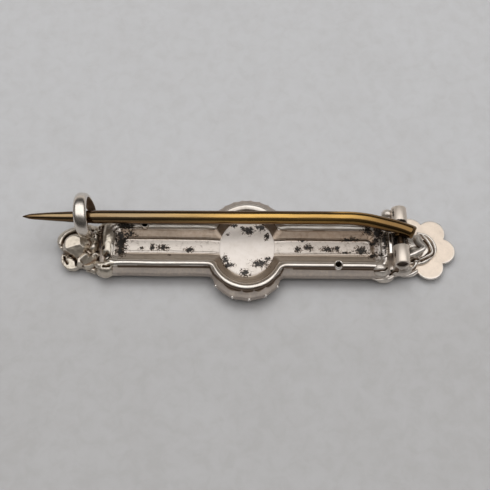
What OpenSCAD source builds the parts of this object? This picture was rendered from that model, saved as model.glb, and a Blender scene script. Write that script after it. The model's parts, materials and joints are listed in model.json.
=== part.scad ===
// Silver bar brooch with a horseshoe medallion, lying face down: X along the bar, Z up to the pin

/* [Bar and medallion] */
// Half length of the bar, to the crest of its end rim
bar_half = 15.2; // [13:0.1:17]
// Half width of the bar, to the crest of its side rims
rim_y = 2.35; // [2.1:0.05:2.6]
// Half width of the oval medallion along the bar, to the crest of its rim
oval_a = 4.3; // [4:0.1:4.8]
// Half width of the oval medallion across the bar, to the crest of its rim
oval_b = 4.95; // [4.5:0.05:5.4]
// Radius of the rim where it turns from the bar into the medallion
turn_r = 0.9; // [0.7:0.05:1.2]
// Radius of the rim at the four corners of the bar
corner_r = 1.1; // [0.9:0.05:1.5]
// How far the sloping skirt stands outside the rim's crest
skirt = 1.3; // [1.1:0.05:1.4]
// How much of the medallion's skirt is tucked in towards the bar
skirt_tuck = 1.2; // [0:0.1:1.4]
// The bar's skirt as a share of the medallion's
bar_share = 0.87; // [0.8:0.01:1]
// How far the scallops of the medallion's border stand out
scallop_out = 0.1; // [0.05:0.01:0.2]
// Radius of the small beads between the scallops
bead_r = 0.2; // [0.12:0.01:0.28]
// Thickness of the metal round the hollow
wall = 0.32; // [0.25:0.01:0.4]

/* [Heights above the table] */
// Plain face of the bar
face_z = 0.6; // [0.5:0.05:0.7]
// Sharp outer edge of the skirt
edge_z = 1.65; // [1.55:0.05:1.75]
// Floor of the recess in the back
floor_z = 1.85; // [1.7:0.05:2]
// Crest of the rolled rim
crest_z = 2.6; // [2.4:0.05:2.9]

/* [Horseshoe] */
// Outer radius of the horseshoe
shoe_outer = 3.3; // [3:0.1:3.6]
// Width of the horseshoe's bar
shoe_width = 1.25; // [1:0.05:1.5]
// Half angle of the horseshoe's open end
shoe_open = 32; // [25:1:40]
// Number of nail dents
shoe_nails = 7; // [5:1:9]

/* [Flower end] */
// Distance of the flower's middle from the medallion's middle
flower_x = 19.3; // [19:0.1:20]
// Offset of the flower's middle across the bar
flower_y = 0.65; // [0.4:0.05:0.8]
// Distance of each petal's middle from the flower's middle
petal_ring = 2.45; // [2.3:0.05:2.6]
// Radius of a petal
petal_r = 1.55; // [1.4:0.05:1.65]
// Turn of the flower, with a petal near the end of the bar
flower_turn = -7; // [-15:1:15]

/* [Pin and hinge] */
// Distance of the hinge's axis from the medallion's middle
hinge_x = 16.8; // [16.4:0.1:17]
// Height of the hinge's axis
hinge_z = 3.4; // [3.35:0.05:3.5]
// Outer radius of the hinge tubes
knuckle_r = 0.86; // [0.82:0.01:0.9]
// Radius of the rivet
rivet_r = 0.4; // [0.35:0.01:0.45]
// Running clearance round the rivet
rivet_gap = 0.03; // [0.02:0.01:0.06]
// Radius of the pin wire
pin_r = 0.74; // [0.6:0.01:0.75]
// Distance of the straight pin from the bar's middle line
pin_y = 2.52; // [2.45:0.01:2.6]
// Height of the middle of the pin wire
pin_z = 4.3; // [4.25:0.01:4.35]
// Reach of the pin's point from the medallion's middle
pin_reach = 24.65; // [24:0.05:25]
// Turn of the pin's root towards the middle of the hinge
pin_turn = 15; // [13:1:17]
// Radius of the bend in the pin
pin_bend_r = 13; // [10:0.5:14]

/* [Catch] */
// Middle of the catch along the bar
catch_x = -17.7; // [-18:0.05:-17.5]
// Radius of the catch's loop, to the middle of its metal
catch_r = 2.2; // [2.1:0.01:2.25]
// Turn of the catch about the upright
catch_turn = 6; // [0:1:10]
// How far the top of the catch leans towards the pin's point
catch_lean = 0.37; // [0:0.01:0.5]

/* [Hidden] */

flower_reach = flower_x + petal_ring * cos(flower_turn) + petal_r;
// The origin is below the middle of the whole, so the medallion's middle stands a little to one side
middle_x = (pin_reach - flower_reach) / 2;

// Section of the body round its outline, from the face to the floor of the recess.
// Columns: distance outside the rim's crest line, height, share of the scallops
OUT = 0;
HIGH = 1;
SHARE = 2;
body_section = [
    [0.20, face_z, 0.2],
    [skirt - 0.35, edge_z - 0.75, 0.6],
    [skirt - 0.06, edge_z - 0.2, 1],
    [skirt, edge_z, 1],
    [skirt - 0.4, edge_z + 0.21, 0.8],
    [0.5, crest_z - 0.54, 0.2],
    [0.41, crest_z - 0.3, 0],
    [0.2, crest_z - 0.05, 0],
    [-0.12, crest_z - 0.02, 0],
    [-0.35, crest_z - 0.28, 0],
    [-0.80, floor_z + 0.17, 0],
    [-1.45, floor_z, 0]
];
// Section of the hollow round the same outline, in the same columns
hollow_section = [
    [0.05, face_z + wall, 0],
    [0.68, edge_z - 0.23, 0],
    [0.18, crest_z - 0.72, 0],
    [0.02, crest_z - wall, 0],
    [-0.12, crest_z - wall, 0],
    [-0.55, floor_z - wall / 2, 0],
    [-1.3, floor_z - wall, 0]
];
hollow_half = 15.1;

nail_margin = 25;

oval_steps = 12;
scallop_steps = 4;
turn_steps = 4;
bar_steps = 2;
corner_steps = 4;
least_corner = 0.6;
least_turn = 0.3;

// Vents through the rims: along the bar, across it
vents = [[10, -2.3], [-11.4, 2.45]];
vent_r = 0.27;
vent_collar_r = 0.52;

// Outline of the bud at the left end, with the shares it is drawn in to at each height
bud_centre = [-17.6, 0.1];
bud_outline = [
    [-15.6, -2.4], [-15.6, 2.9], [-17.2, 3.1], [-18.4, 3.05], [-19.5, 2.7], [-20.7, 2.1],
    [-21.3, 1.45], [-21.34, 0.9], [-20.91, 0.33], [-20.54, -0.34], [-20.62, -1], [-20.39, -1.74],
    [-19.82, -2.31], [-19.3, -2.5], [-18.8, -2.46], [-18.43, -2.21], [-17.6, -2.53], [-16.7, -2.68]
];
bud_section = [[0.62, 0], [0.88, 0.35], [1, 0.95], [0.97, 1.35], [0.82, 1.75], [0.58, 1.95]];
// Domes on the bud's back. Columns: along, across, height, radius
bud_domes = [
    [-18.95, 0.1, 1.25, 1.42],
    [-17.35, -1.45, 1.2, 1.05],
    [-20.3, 1.1, 0.95, 0.85],
    [-19.5, 1.95, 1.0, 0.9],
    [-19.6, -1.7, 0.95, 0.85],
    [-17.9, 1.9, 1.3, 1.05],
    [-17.6, 0.85, 1.85, 0.9],
    [-16.4, 0.9, 1.6, 0.85]
];
// Lobes where the bar meets the ornaments at its ends. Columns: along, across, height, radius
end_lobes = [
    [15.0, 2.75, 1.4, 0.85],
    [14.75, 2.62, 2.0, 0.62],
    [-15.5, 2.8, 1.4, 0.95],
    [-15.3, 2.7, 1.95, 0.7]
];
lump_fn = 12;
lobe_fn = 10;

// Pointed arch behind the flower. Columns: inset, height at the hinge, height at the point
tip_section = [
    [0, 0.86, 0.86],
    [0, 1.5, 1.4],
    [0.3, 1.8, 1.6],
    [0.34, 2.0, 1.75],
    [0.62, 2.45, 1.9]
];
tip_from = 15.1;
tip_shoulder = 16.1;
tip_reach = 21.2;
tip_r = 1.9;
tip_centre = [18.95, 0.35];
tip_point = 0.4;
tip_half = 3.0;
tip_steps = 18;

// Knuckles of the hinge: near end and far end across the bar
near_knuckle = [-2.63, -0.4];
far_knuckle = [2.36, 4.26];
bore_r = rivet_r + rivet_gap;
mouth_r = 0.64;
mouth_deep = 0.5;
plate_x = 15.56;
plate_thick = 0.4;
plate_top = 2.9;
saddle_half = 0.7;
saddle_z = 1.15;
well = [15.8, 18.9, near_knuckle[1] - 0.05, far_knuckle[0] + 0.05];
well_floor = 1.22;
tail_x = 18.2;

// Taper of the pin: distance from the middle, radius
pin_taper = [[-pin_reach, 0.05], [-23.75, 0.3], [-21.5, 0.47], [-16.5, pin_r]];
bend_start = 10.8;
// The straight stretches lap the bend by this much, and the bend is this much thinner
lap = 0.05;
bend_slack = 0.005;

// Path of the catch in its own upright plane, round the pin: angle from the far side, width, thickness
catch_centre = [2.75, 3.95];
catch_path = [
    [-48, 0.9, 0.5],
    [-30, 1.1, 0.56],
    [-10, 1.25, 0.6],
    [10, 1.35, 0.62],
    [30, 1.4, 0.64],
    [50, 1.45, 0.66],
    [70, 1.5, 0.68],
    [90, 1.52, 0.7],
    [110, 1.5, 0.7],
    [130, 1.5, 0.7],
    [150, 1.48, 0.7],
    [170, 1.4, 0.7],
    [188, 1.28, 0.7],
    [205, 1.18, 0.72],
    [222, 1.1, 0.8]
];
catch_sides = 10;

// Closed solid through rings of points, from the lowest up, each ring anticlockwise seen from above
module loft(rings) {
    n = len(rings[0]);
    last = len(rings) - 1;
    points = [for (ring = rings) each ring];
    sides = [
        for (r = [0 : last - 1], i = [0 : n - 1])
            let (j = (i + 1) % n)
                each [
                    [r * n + i, (r + 1) * n + i, (r + 1) * n + j],
                    [r * n + i, (r + 1) * n + j, r * n + j]
                ]
    ];
    bottom = [for (i = [0 : n - 1]) i];
    top = [for (i = [n - 1 : -1 : 0]) last * n + i];
    polyhedron(points = points, faces = concat([bottom, top], sides));
}

// Outline of the rim's crest, moved outwards by o: one quarter, from the oval's far side to the bar's end
function oval_normal(t) = let (v = [oval_b * cos(t), oval_a * sin(t)]) v / norm(v);
function oval_point(t, o) = [oval_a * cos(t), oval_b * sin(t)] + o * oval_normal(t);
function turn_of(o) = turn_r - max(0, o) * (turn_r - least_turn) / skirt;
function tucked(t, o) = o > 0 ? o * (1 - skirt_tuck * pow(cos(t), 4)) : o;
function bar_reach(o) = o > 0 ? o * bar_share : o;
// Angle at which the oval, moved outwards by o, meets the turn into the bar
function oval_end(o, low = 25, high = 90, tries = 24) =
    let (middle = (low + high) / 2, p = oval_point(middle, tucked(middle, o) + turn_of(o)))
    tries == 0 ? middle :
    p.y > rim_y + bar_reach(o) + turn_of(o) ? oval_end(o, low, middle, tries - 1) :
    oval_end(o, middle, high, tries - 1);

function oval_angle(i, end) = 90 - i * (90 - end) / oval_steps;
function scallop(i) = scallop_out * abs(sin(180 * i / scallop_steps));
function corner(o) = max(least_corner, corner_r + o);
function quarter(o, share) =
    let (
        end = oval_end(o),
        turn = turn_of(o),
        centre = oval_point(end, tucked(end, o) + turn),
        start = atan2(oval_normal(end).y, oval_normal(end).x) + 180,
        b = bar_reach(o)
    )
    concat(
    [
        for (i = [0 : oval_steps - 1])
            let (t = oval_angle(i, end)) oval_point(t, tucked(t, o) + share * scallop(i))
    ],
    [
        for (i = [0 : turn_steps])
            let (t = start + i * (270 - start) / turn_steps)
                centre + turn * [cos(t), sin(t)]
    ],
    [
        for (i = [1 : bar_steps])
            [centre.x + i * (bar_half + b - corner(b) - centre.x) / bar_steps, rim_y + b]
    ],
    [
        for (i = [1 : corner_steps])
            let (t = 90 - 90 * i / corner_steps)
                [bar_half + b - corner(b), rim_y + b - corner(b)] + corner(b) * [cos(t), sin(t)]
    ]
);
function backwards(list) = [for (i = [len(list) - 1 : -1 : 0]) list[i]];
function outline(o, share) =
    let (
        q = quarter(o, share),
        inner = [for (i = [1 : len(q) - 1]) q[i]]
    )
    concat(
        q,
        [for (p = backwards(q)) [p.x, -p.y]],
        [for (p = inner) [-p.x, -p.y]],
        [for (i = [len(q) - 1 : -1 : 1]) [-q[i].x, q[i].y]]
    );
function rings_of(section) = [
    for (s = section) [for (p = backwards(outline(s[OUT], s[SHARE]))) [p.x, p.y, s[HIGH]]]
];

module lump(l, sides) {
    translate([l[0], l[1], l[2]]) sphere(l[3], $fn = sides);
}

module border_beads() {
    for (side = [-1, 1], turn = [-1, 1], i = [0 : scallop_steps : oval_steps - 1])
        let (t = oval_angle(i, oval_end(skirt)), p = oval_point(t, tucked(t, skirt) - bead_r / 2))
            translate([turn * p.x, side * p.y, edge_z - 0.05]) sphere(bead_r, $fn = 6);
}

module horseshoe() {
    nail_arc = 360 - 2 * shoe_open - 2 * nail_margin;
    difference() {
        cylinder(r = shoe_outer, h = face_z + 0.1, $fn = 36);
        translate([0, 0, -1]) cylinder(r = shoe_outer - shoe_width, h = 3, $fn = 36);
        translate([0, 0, -1])
            linear_extrude(3)
                polygon([[0, -1], [-8 * sin(shoe_open), 8], [8 * sin(shoe_open), 8]]);
        for (i = [0 : shoe_nails - 1])
            rotate(90 + shoe_open + nail_margin + i * nail_arc / (shoe_nails - 1))
                translate([shoe_outer - shoe_width / 2, 0, -0.2])
                    cylinder(r = 0.2, h = 0.45, $fn = 8);
    }
}

module left_bud() {
    loft([
        for (s = bud_section)
            [for (p = bud_outline) [each bud_centre + s[0] * (p - bud_centre), s[1]]]
    ]);
    for (l = bud_domes) lump(l, lump_fn);
}

module corner_lobes() {
    for (l = end_lobes, side = [-1, 1]) lump([l[0], side * l[1], l[2], l[3]], lobe_fn);
}

// Pointed arch behind the flower
function tip_radius(t) = tip_r + tip_point * max(0, 1 - abs(t) / 30);
function tip_outline(inset) = concat(
    [[tip_from, -tip_half + inset], [tip_shoulder, -tip_half + inset]],
    [
        for (i = [0 : tip_steps])
            let (t = -112 + i * 224 / tip_steps)
                tip_centre + (tip_radius(t) - inset) * [cos(t), sin(t)]
    ],
    [[tip_shoulder, tip_half - inset], [tip_from, tip_half - inset]]
);
module pointed_end() {
    loft([
        for (s = tip_section)
            [
                for (p = tip_outline(s[0]))
                    [p.x, p.y, s[1] + (s[2] - s[1]) * (p.x - tip_from) / (tip_reach - tip_from)]
            ]
    ]);
}

// Flat six-lobed plate with low petals and a bead on its face
module flower() {
    translate([flower_x, flower_y, 0]) {
        translate([0, 0, 0.55]) cylinder(r = petal_ring - 0.35, h = 0.33, $fn = 36);
        for (i = [0 : 5])
            rotate(flower_turn + 60 * i) translate([petal_ring, 0, 0]) {
                translate([0, 0, 0.55]) cylinder(r = petal_r, h = 0.33, $fn = 20);
                translate([0, 0, 1.25]) sphere(1.12, $fn = 10);
            }
    }
}
module flower_backs() {
    translate([flower_x - 6, flower_y - 6, 0.88]) cube([12, 12, 3]);
}
module flower_bead() {
    translate([flower_x, flower_y, 0.55]) sphere(0.9, $fn = 16);
}

// Strip of half-round metal bent into an open loop, standing across the bar
function catch_point(row) =
    let (t = row[0])
    [
        -catch_lean * max(0, sin(t)),
        catch_centre.x + catch_r * cos(t),
        catch_centre.y + catch_r * sin(t)
    ];
function catch_ring(row) =
    let (t = row[0])
    [
        for (i = [0 : catch_sides - 1])
            let (
                a = 360 * i / catch_sides,
                out = row[2] / 2 * sin(a)
            )
                catch_point(row) + [row[1] / 2 * cos(a), out * cos(t), out * sin(t)]
    ];
module catch_loop() {
    translate([catch_x, catch_centre.x, 0])
        rotate(-catch_turn)
            translate([0, -catch_centre.x, 0])
                loft([for (row = catch_path) catch_ring(row)]);
}

module vent_collars() {
    for (v = vents) translate([v.x, v.y, 1.6]) cylinder(r = vent_collar_r, h = 1.08, $fn = 14);
}

module hollows() {
    intersection() {
        loft(rings_of(hollow_section));
        translate([-hollow_half, -8, 0]) cube([2 * hollow_half, 16, 4]);
    }
    for (v = vents) translate([v.x, v.y, 1.5]) cylinder(r = vent_r, h = 3, $fn = 14);
    translate([well[0], well[2], well_floor]) cube([well[1] - well[0], well[3] - well[2], 4]);
}

module table_side() {
    translate([-30, -10, -5]) cube([60, 20, 5]);
}

module cast_body() {
    difference() {
        union() {
            loft(rings_of(body_section));
            border_beads();
            corner_lobes();
            left_bud();
            pointed_end();
            horseshoe();
            difference() {
                flower();
                flower_backs();
            }
            flower_bead();
            vent_collars();
            catch_loop();
        }
        hollows();
        table_side();
    }
}

// Hinge: a plate across the bar and two tubes on saddles
module knuckle(ends, mouth_y) {
    difference() {
        union() {
            translate([hinge_x, ends[1], hinge_z]) rotate([90, 0, 0])
                cylinder(r = knuckle_r, h = ends[1] - ends[0], $fn = 48);
            translate([hinge_x - saddle_half, ends[0], saddle_z])
                cube([2 * saddle_half, ends[1] - ends[0], hinge_z - 0.3 - saddle_z]);
        }
        translate([hinge_x, ends[1] + 1, hinge_z]) rotate([90, 0, 0])
            cylinder(r = bore_r, h = ends[1] - ends[0] + 2, $fn = 48);
        translate([hinge_x, mouth_y + mouth_deep, hinge_z]) rotate([90, 0, 0])
            cylinder(r = mouth_r, h = 2 * mouth_deep, $fn = 48);
    }
}

module hinge() {
    knuckle(near_knuckle, near_knuckle[0]);
    knuckle(far_knuckle, far_knuckle[1]);
    translate([plate_x, -1.0, 0.9]) cube([plate_thick, 3.6, plate_top - 0.9]);
}

module brooch_body() {
    color("silver")
        translate([middle_x, 0, 0]) {
            resize([0, 0, 0]) cast_body();
            hinge();
        }
}

module hinge_rivet() {
    low = near_knuckle[0] + 0.12;
    high = far_knuckle[1] - 0.12;
    head = 0.3;
    color("peru")
        translate([middle_x, 0, 0]) {
            translate([hinge_x, high, hinge_z]) rotate([90, 0, 0])
                cylinder(r = rivet_r, h = high - low, $fn = 48);
            for (y = [low + head, high])
                translate([hinge_x, y, hinge_z]) rotate([90, 0, 0])
                    cylinder(r = mouth_r - 0.05, h = head, $fn = 48);
        }
}

// Pin: a tapered point, a straight wire, a bend and a straight root that ends past the hinge
bend_end = [bend_start + pin_bend_r * sin(pin_turn), pin_y - pin_bend_r * (1 - cos(pin_turn))];
root_length = (tail_x - bend_end.x) / cos(pin_turn) + lap;
eye_y = bend_end.y - (hinge_x - bend_end.x) * tan(pin_turn);
eye_half = 0.78;
eye_r = 0.82;

module pin_wire() {
    translate([0, pin_y, pin_z]) {
        rotate([90, 0, 90])
            translate([0, 0, pin_taper[3][0]])
                cylinder(r = pin_r, h = bend_start + lap - pin_taper[3][0], $fn = 48);
        for (i = [0 : 2])
            translate([pin_taper[i][0], 0, 0]) rotate([0, 90, 0])
                cylinder(
                    r1 = pin_taper[i][1],
                    r2 = pin_taper[i + 1][1],
                    h = pin_taper[i + 1][0] - pin_taper[i][0],
                    $fn = 48
                );
    }
    translate([bend_start, pin_y - pin_bend_r, pin_z]) {
        rotate(90 - pin_turn)
            rotate_extrude(angle = pin_turn, $fn = 180)
                translate([pin_bend_r, 0]) circle(pin_r - bend_slack, $fn = 48);
        rotate(-pin_turn)
            translate([-lap, pin_bend_r, 0]) rotate([0, 90, 0])
                cylinder(r = pin_r, h = root_length, $fn = 48);
    }
}

module pin() {
    color("goldenrod")
        translate([middle_x, 0, 0])
            difference() {
                union() {
                    pin_wire();
                    translate([hinge_x, eye_y + eye_half, hinge_z]) rotate([90, 0, 0])
                        cylinder(r = eye_r, h = 2 * eye_half, $fn = 48);
                }
                translate([hinge_x, 10, hinge_z]) rotate([90, 0, 0])
                    cylinder(r = bore_r, h = 20, $fn = 48);
            }
}

brooch_body();
hinge_rivet();
pin();
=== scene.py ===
"""Silver bar brooch lying face down: its silver, its brass and the table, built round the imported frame"""

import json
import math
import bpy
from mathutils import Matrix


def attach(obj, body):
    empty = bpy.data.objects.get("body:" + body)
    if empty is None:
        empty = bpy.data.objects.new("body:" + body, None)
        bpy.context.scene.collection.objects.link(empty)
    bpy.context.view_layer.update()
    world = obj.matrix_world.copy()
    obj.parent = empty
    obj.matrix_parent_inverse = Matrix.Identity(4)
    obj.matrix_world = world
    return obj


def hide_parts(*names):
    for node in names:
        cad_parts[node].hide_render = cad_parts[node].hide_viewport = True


bl_info = {
    "name": "Horseshoe Brooch",
    "version": (1, 0, 0),
    "blender": (4, 5, 0),
    "location": "View3D > Sidebar > Brooch",
    "description": "Builds a silver bar brooch with its bud, flower, hinge, catch and brass pin",
    "category": "Add Mesh",
}

from types import SimpleNamespace

import bmesh
import bpy
from mathutils import Matrix, Vector, noise

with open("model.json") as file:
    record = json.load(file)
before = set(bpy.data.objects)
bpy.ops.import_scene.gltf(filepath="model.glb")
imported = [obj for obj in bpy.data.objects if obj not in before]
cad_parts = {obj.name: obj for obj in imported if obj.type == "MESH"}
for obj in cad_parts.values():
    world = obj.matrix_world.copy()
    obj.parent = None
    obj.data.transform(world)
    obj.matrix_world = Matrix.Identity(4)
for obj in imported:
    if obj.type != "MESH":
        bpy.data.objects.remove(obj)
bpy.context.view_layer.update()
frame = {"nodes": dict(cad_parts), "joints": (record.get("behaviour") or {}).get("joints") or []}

# Pieces are shaped in millimetres from the medallion's middle, then placed in the frame
MM = 0.001
HINGE_REACH = 16.8
HINGE = Vector(frame["joints"][0]["pos_m"]) / MM
MIDDLE = HINGE.x - HINGE_REACH
TO_FRAME = Matrix.Translation((MIDDLE * MM, 0, 0)) @ Matrix.Scale(MM, 4)

# Size of the grains that lumps and ridges melt together in
VOXEL = 0.06
# How far hand work moves the bar's surface, the length of its waves, and what fixes where they lie
SWAY, SWAY_LENGTH = 0.045, 3.2
WAVE_SEED = 1
# Painted shade under and inside the rim, given as a crevice depth
RIM_PAINTED_SHADE = 0.095

# Section of the bar and medallion, from the face round to the floor of the recess.
# Columns: distance outside the rim's crest, height, share of the scallops, 1 where the metal has an edge
BAR_SECTION = [
    (-0.34, 0.72, 0, 1), (-0.26, 0.6, 0, 1), (0.15, 0.6, 0.2, 1), (0.66, 0.62, 0.5, 0), (1, 0.76, 0.8, 0),
    (1.18, 1.12, 1, 0), (1.22, 1.56, 1, 1), (1.19, 1.68, 1, 0), (0.86, 1.87, 0.8, 0), (0.52, 2.07, 0.3, 0),
    (0.43, 2.13, 0.1, 1), (0.43, 2.26, 0, 0), (0.36, 2.43, 0, 0), (0.19, 2.56, 0, 0), (0.02, 2.6, 0, 0),
    (-0.1, 2.575, 0, 0), (-0.24, 2.51, 0, 0), (-0.37, 2.44, 0, 0), (-0.44, 2.37, 0, 0), (-0.46, 2.28, 0, 1),
    (-0.7, 2.15, 0, 0), (-1.02, 1.99, 0, 0), (-1.34, 1.83, 0, 1), (-1.39, 1.795, 0, 0),
    (-1.46, 1.815, 0, 0), (-1.54, 1.865, 0, 0), (-1.64, 1.868, 0, 0), (-1.74, 1.83, 0, 1),
    (-1.82, 1.83, 0, 1),
]
FLOOR_OUT = -1.4
# Where the scallops of the border meet, along the bar: the near side is -1 and the far side is 1
CUSPS = {
    -1: [-4.2, -3.35, -1.53, 0.3, 2.1, 3.35, 4.2],
    1: [-4.2, -3.3, -2.5, -1.55, -0.6, 0.35, 1.35, 2.3, 3.13, 4.2],
}
# Depth of the scallops and size of the beads on each side, as shares
SCALLOP_SHARE = {-1: 1, 1: 0.7}
BEAD_SHARE = {-1: 1, 1: 0.75}
BEAD_HEIGHT = 1.52
# Where the pockets of painted shade under the near rim meet, along the bar
POCKETS = [-2.5, -0.5, 0.82, 2.05, 3.15]
# Raised disc on the medallion's floor. Columns: share of its outline, height, 1 at an edge
DISC_SECTION = [
    (1.03, 1.72, 1), (1.01, 1.86, 0), (0.985, 1.905, 0), (0.95, 1.92, 0), (0.7, 1.93, 0), (0.35, 1.935, 1),
]
# Vents through the rims: along the bar, across it
VENTS = [(10, -2.3), (-11.4, 2.45)]
COLLAR_TOP = 2.68

# Outline of the bud, seen from above, anticlockwise: along the bar, across it
BUD_OUTLINE = [
    (-15.6, -2.4), (-15.6, 2.9), (-17.2, 3.1), (-18.4, 3.05), (-19.5, 2.7), (-20.7, 2.1), (-21.25, 1.45),
    (-21.25, 0.9), (-20.9, 0.33), (-20.54, -0.34), (-20.6, -1), (-20.35, -1.74), (-19.82, -2.28),
    (-19.3, -2.45), (-18.8, -2.42), (-18.43, -2.2), (-17.6, -2.5), (-16.7, -2.6),
]
BUD_MIDDLE = Vector((-17.6, 0.1, 0))
# Columns: share of the outline, height, 1 at an edge
BUD_SECTION = [(0.62, 0, 1), (0.88, 0.3, 0), (0.99, 0.75, 0), (0.97, 1, 0), (0.86, 1.3, 0), (0.5, 1.5, 1)]
# Lumps of the bud's back. Columns: along, across, height, three radii, turn in degrees
BUD_LUMPS = [
    (-19.05, 0.15, 1.2, 1.5, 1.48, 1.62, 0), (-18.05, -1.5, 1.2, 1, 0.5, 1.2, 49),
    (-17.3, -1.75, 1, 0.95, 0.72, 1.1, 10), (-16.75, -1, 1.2, 0.7, 0.4, 0.75, -10),
    (-19.5, -1.72, 0.75, 1, 0.72, 0.85, -25), (-18, 2, 1.2, 1.1, 1, 1, 0),
    (-17.75, 0.72, 1.8, 0.72, 0.5, 0.85, 0), (-16.85, 1.15, 1.85, 0.42, 0.75, 0.75, 0),
    (-17.1, 0, 1.45, 0.55, 0.6, 0.75, 0), (-16.3, 0.3, 1.1, 0.6, 1.5, 0.75, 0),
    (-16.3, 2.2, 1.3, 0.7, 0.7, 0.8, 0), (-15.45, -2.68, 1.42, 1, 0.8, 1.06, 0),
    (-15.5, 2.85, 1.4, 0.95, 0.85, 0.9, 0), (-16.2, -2, 0.9, 0.7, 0.8, 0.8, 0),
    (-15.36, 0.75, 1.72, 0.84, 2.7, 0.96, 0),
]
# Ridges of the bud, each a radius and its points
BUD_ROPES = [
    (0.27, [
        (-18.7, 2.45, 1.4), (-19.4, 2.15, 1.55), (-20.05, 1.85, 1.55), (-20.5, 1.45, 1.5),
        (-20.75, 0.95, 1.45), (-20.85, 0.5, 1.35),
    ]),
    (0.22, [
        (-19, 2.75, 1), (-20, 2.4, 1), (-20.7, 1.95, 1), (-21.05, 1.4, 1), (-21.05, 0.8, 1),
        (-20.75, 0.2, 1),
    ]),
    (0.15, [
        (-20.45, -0.75, 1.15), (-20.48, -1.4, 1.12), (-20.25, -1.95, 1.1), (-19.7, -2.32, 1.1),
        (-19.1, -2.4, 1.15), (-18.65, -2.25, 1.25),
    ]),
    (0.13, [(-18.6, -1.95, 1.25), (-18.1, -2.25, 1.15), (-17.3, -2.45, 1.1), (-16.8, -2.6, 1.1)]),
    (0.2, [(-17.6, -2.5, 0.8), (-17.3, -2.5, 0.75), (-16.8, -2.75, 0.8)]),
    (0.2, [(-16.28, 2.4, 1.9), (-16.28, 1.2, 1.9), (-16.22, 0.3, 1.75)]),
    (0.39, [
        (-13.9, -2.16, 2.16), (-14.5, -2.2, 2.2), (-15.05, -2.3, 2.12), (-15.6, -2.38, 2.02),
        (-16.15, -2.36, 1.9), (-16.4, -2.15, 1.72),
    ]),
    (0.16, [
        (-16.55, -2.55, 1.2), (-16.4, -2.95, 1.15), (-16, -3.25, 1.15), (-15.5, -3.4, 1.15),
        (-15, -3.3, 1.25), (-14.6, -3.1, 1.45),
    ]),
]
# Flats filed on the bud. Columns: a point of the flat, its lean along and across in degrees, its reach
BUD_FLATS = [
    (-19.05, 0.35, 2.5, -6, -7, 1.5), (-18.95, -0.2, 2.46, 4, -38, 1.45), (-18.05, 0.2, 2.3, 34, -4, 0.9),
    (-18.1, -1.45, 2.16, -6, -10, 1), (-17.5, -1.3, 2.02, 26, -38, 1), (-19.5, -1.75, 1.42, -8, -18, 0.75),
]
# Grooves pressed in the bud, each a depth, a width and its points
BUD_GROOVES = [
    (0.3, 0.13, [(-20.35, 0.35), (-20.25, 1), (-19.8, 1.5), (-19.2, 1.75), (-18.4, 1.75)]),
    (0.35, 0.12, [(-20.4, -0.55), (-19.9, -0.85), (-19.3, -1.2), (-18.9, -1.55), (-18.8, -2)]),
    (0.28, 0.1, [(-20.25, -1.05), (-20.1, -1.5), (-19.85, -1.9)]),
    (0.22, 0.09, [(-17.85, -0.6), (-17.5, -0.85), (-17.2, -0.95)]),
    (0.25, 0.14, [(-16.2, 2.4), (-16.28, 1.3), (-16.12, 0.3), (-16.2, -0.6)]),
    (0.3, 0.1, [(-16.5, 2.3), (-16.45, 1), (-16.5, 0.1), (-16.55, -0.5)]),
    (0.6, 0.22, [(-16.3, -1.5), (-15.8, -1.4), (-15.4, -1.2)]),
    (0.34, 0.11, [(-15.66, -2.66), (-15.35, -2.7), (-15, -2.6)]),
    (0.3, 0.09, [(-16.64, 1.22), (-16.6, 1.2)]),
    (0.25, 0.08, [(-16.94, 0.92), (-16.9, 0.9)]),
    (0.3, 0.1, [(-16.65, -0.55), (-16.5, -0.55)]),
]

# Lumps, ridges and grooves round the hinge's foot, in the bud's columns
HINGE_LUMPS = [
    (15.2, -2.85, 0.85, 1.15, 0.75, 0.72, 8), (15.15, 2.95, 1.3, 1.05, 0.72, 0.8, -8),
    (14.6, -2.52, 1.9, 0.92, 0.8, 0.86, -20), (14.6, 2.62, 2, 0.75, 0.5, 0.58, 20),
    (16.8, -2.3, 1.4, 1.4, 0.72, 0.8, 0), (16.8, 2.75, 1.4, 1.4, 0.8, 0.85, 0),
    (16.8, -1.6, 2.1, 0.86, 1, 1.05, 0), (16.8, -2.4, 2.5, 0.84, 0.3, 0.85, 0),
    (16.8, 3.3, 2.2, 0.8, 0.72, 1.05, 0), (15.6, 3.8, 2.85, 0.68, 0.6, 0.68, 0),
    (15.72, 3.35, 2.2, 0.6, 0.62, 1, 0),
]
HINGE_ROPES = [
    (0.14, [
        (13.6, -3.15, 1.5), (14, -3.42, 1.3), (14.8, -3.45, 1.2), (15.6, -3.36, 1.2), (16, -3.08, 1.2),
        (16.5, -2.9, 1.2),
    ]),
    (0.22, [(15.28, -2, 2.25), (15.28, -0.8, 2.3), (15.28, 0.8, 2.3), (15.28, 2, 2.25)]),
]
HINGE_GROOVES = [
    (0.25, 0.09, [(13.75, -2.75), (14.3, -2.95), (15, -2.85), (15.3, -2.5)]),
    (0.25, 0.1, [(15.7, -2.9), (16.1, -2.7), (16.5, -2.75)]),
]
# Blocks of solder under the hinge's tubes, and its plate, each a low and a high corner
HINGE_BLOCKS = [((16.12, -2.55, 1.15), (17.48, -0.48, 3.0)), ((16.12, 2.44, 1.15), (17.48, 4.15, 3.0))]
HINGE_PLATE = ((15.6, -1.0, 0.95), (15.94, 2.5, 2.88))
# Hinge tubes: near end, far end, whether the near end is the open one
TUBES = [(-2.63, -0.4, True), (2.36, 4.26, False)]
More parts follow.
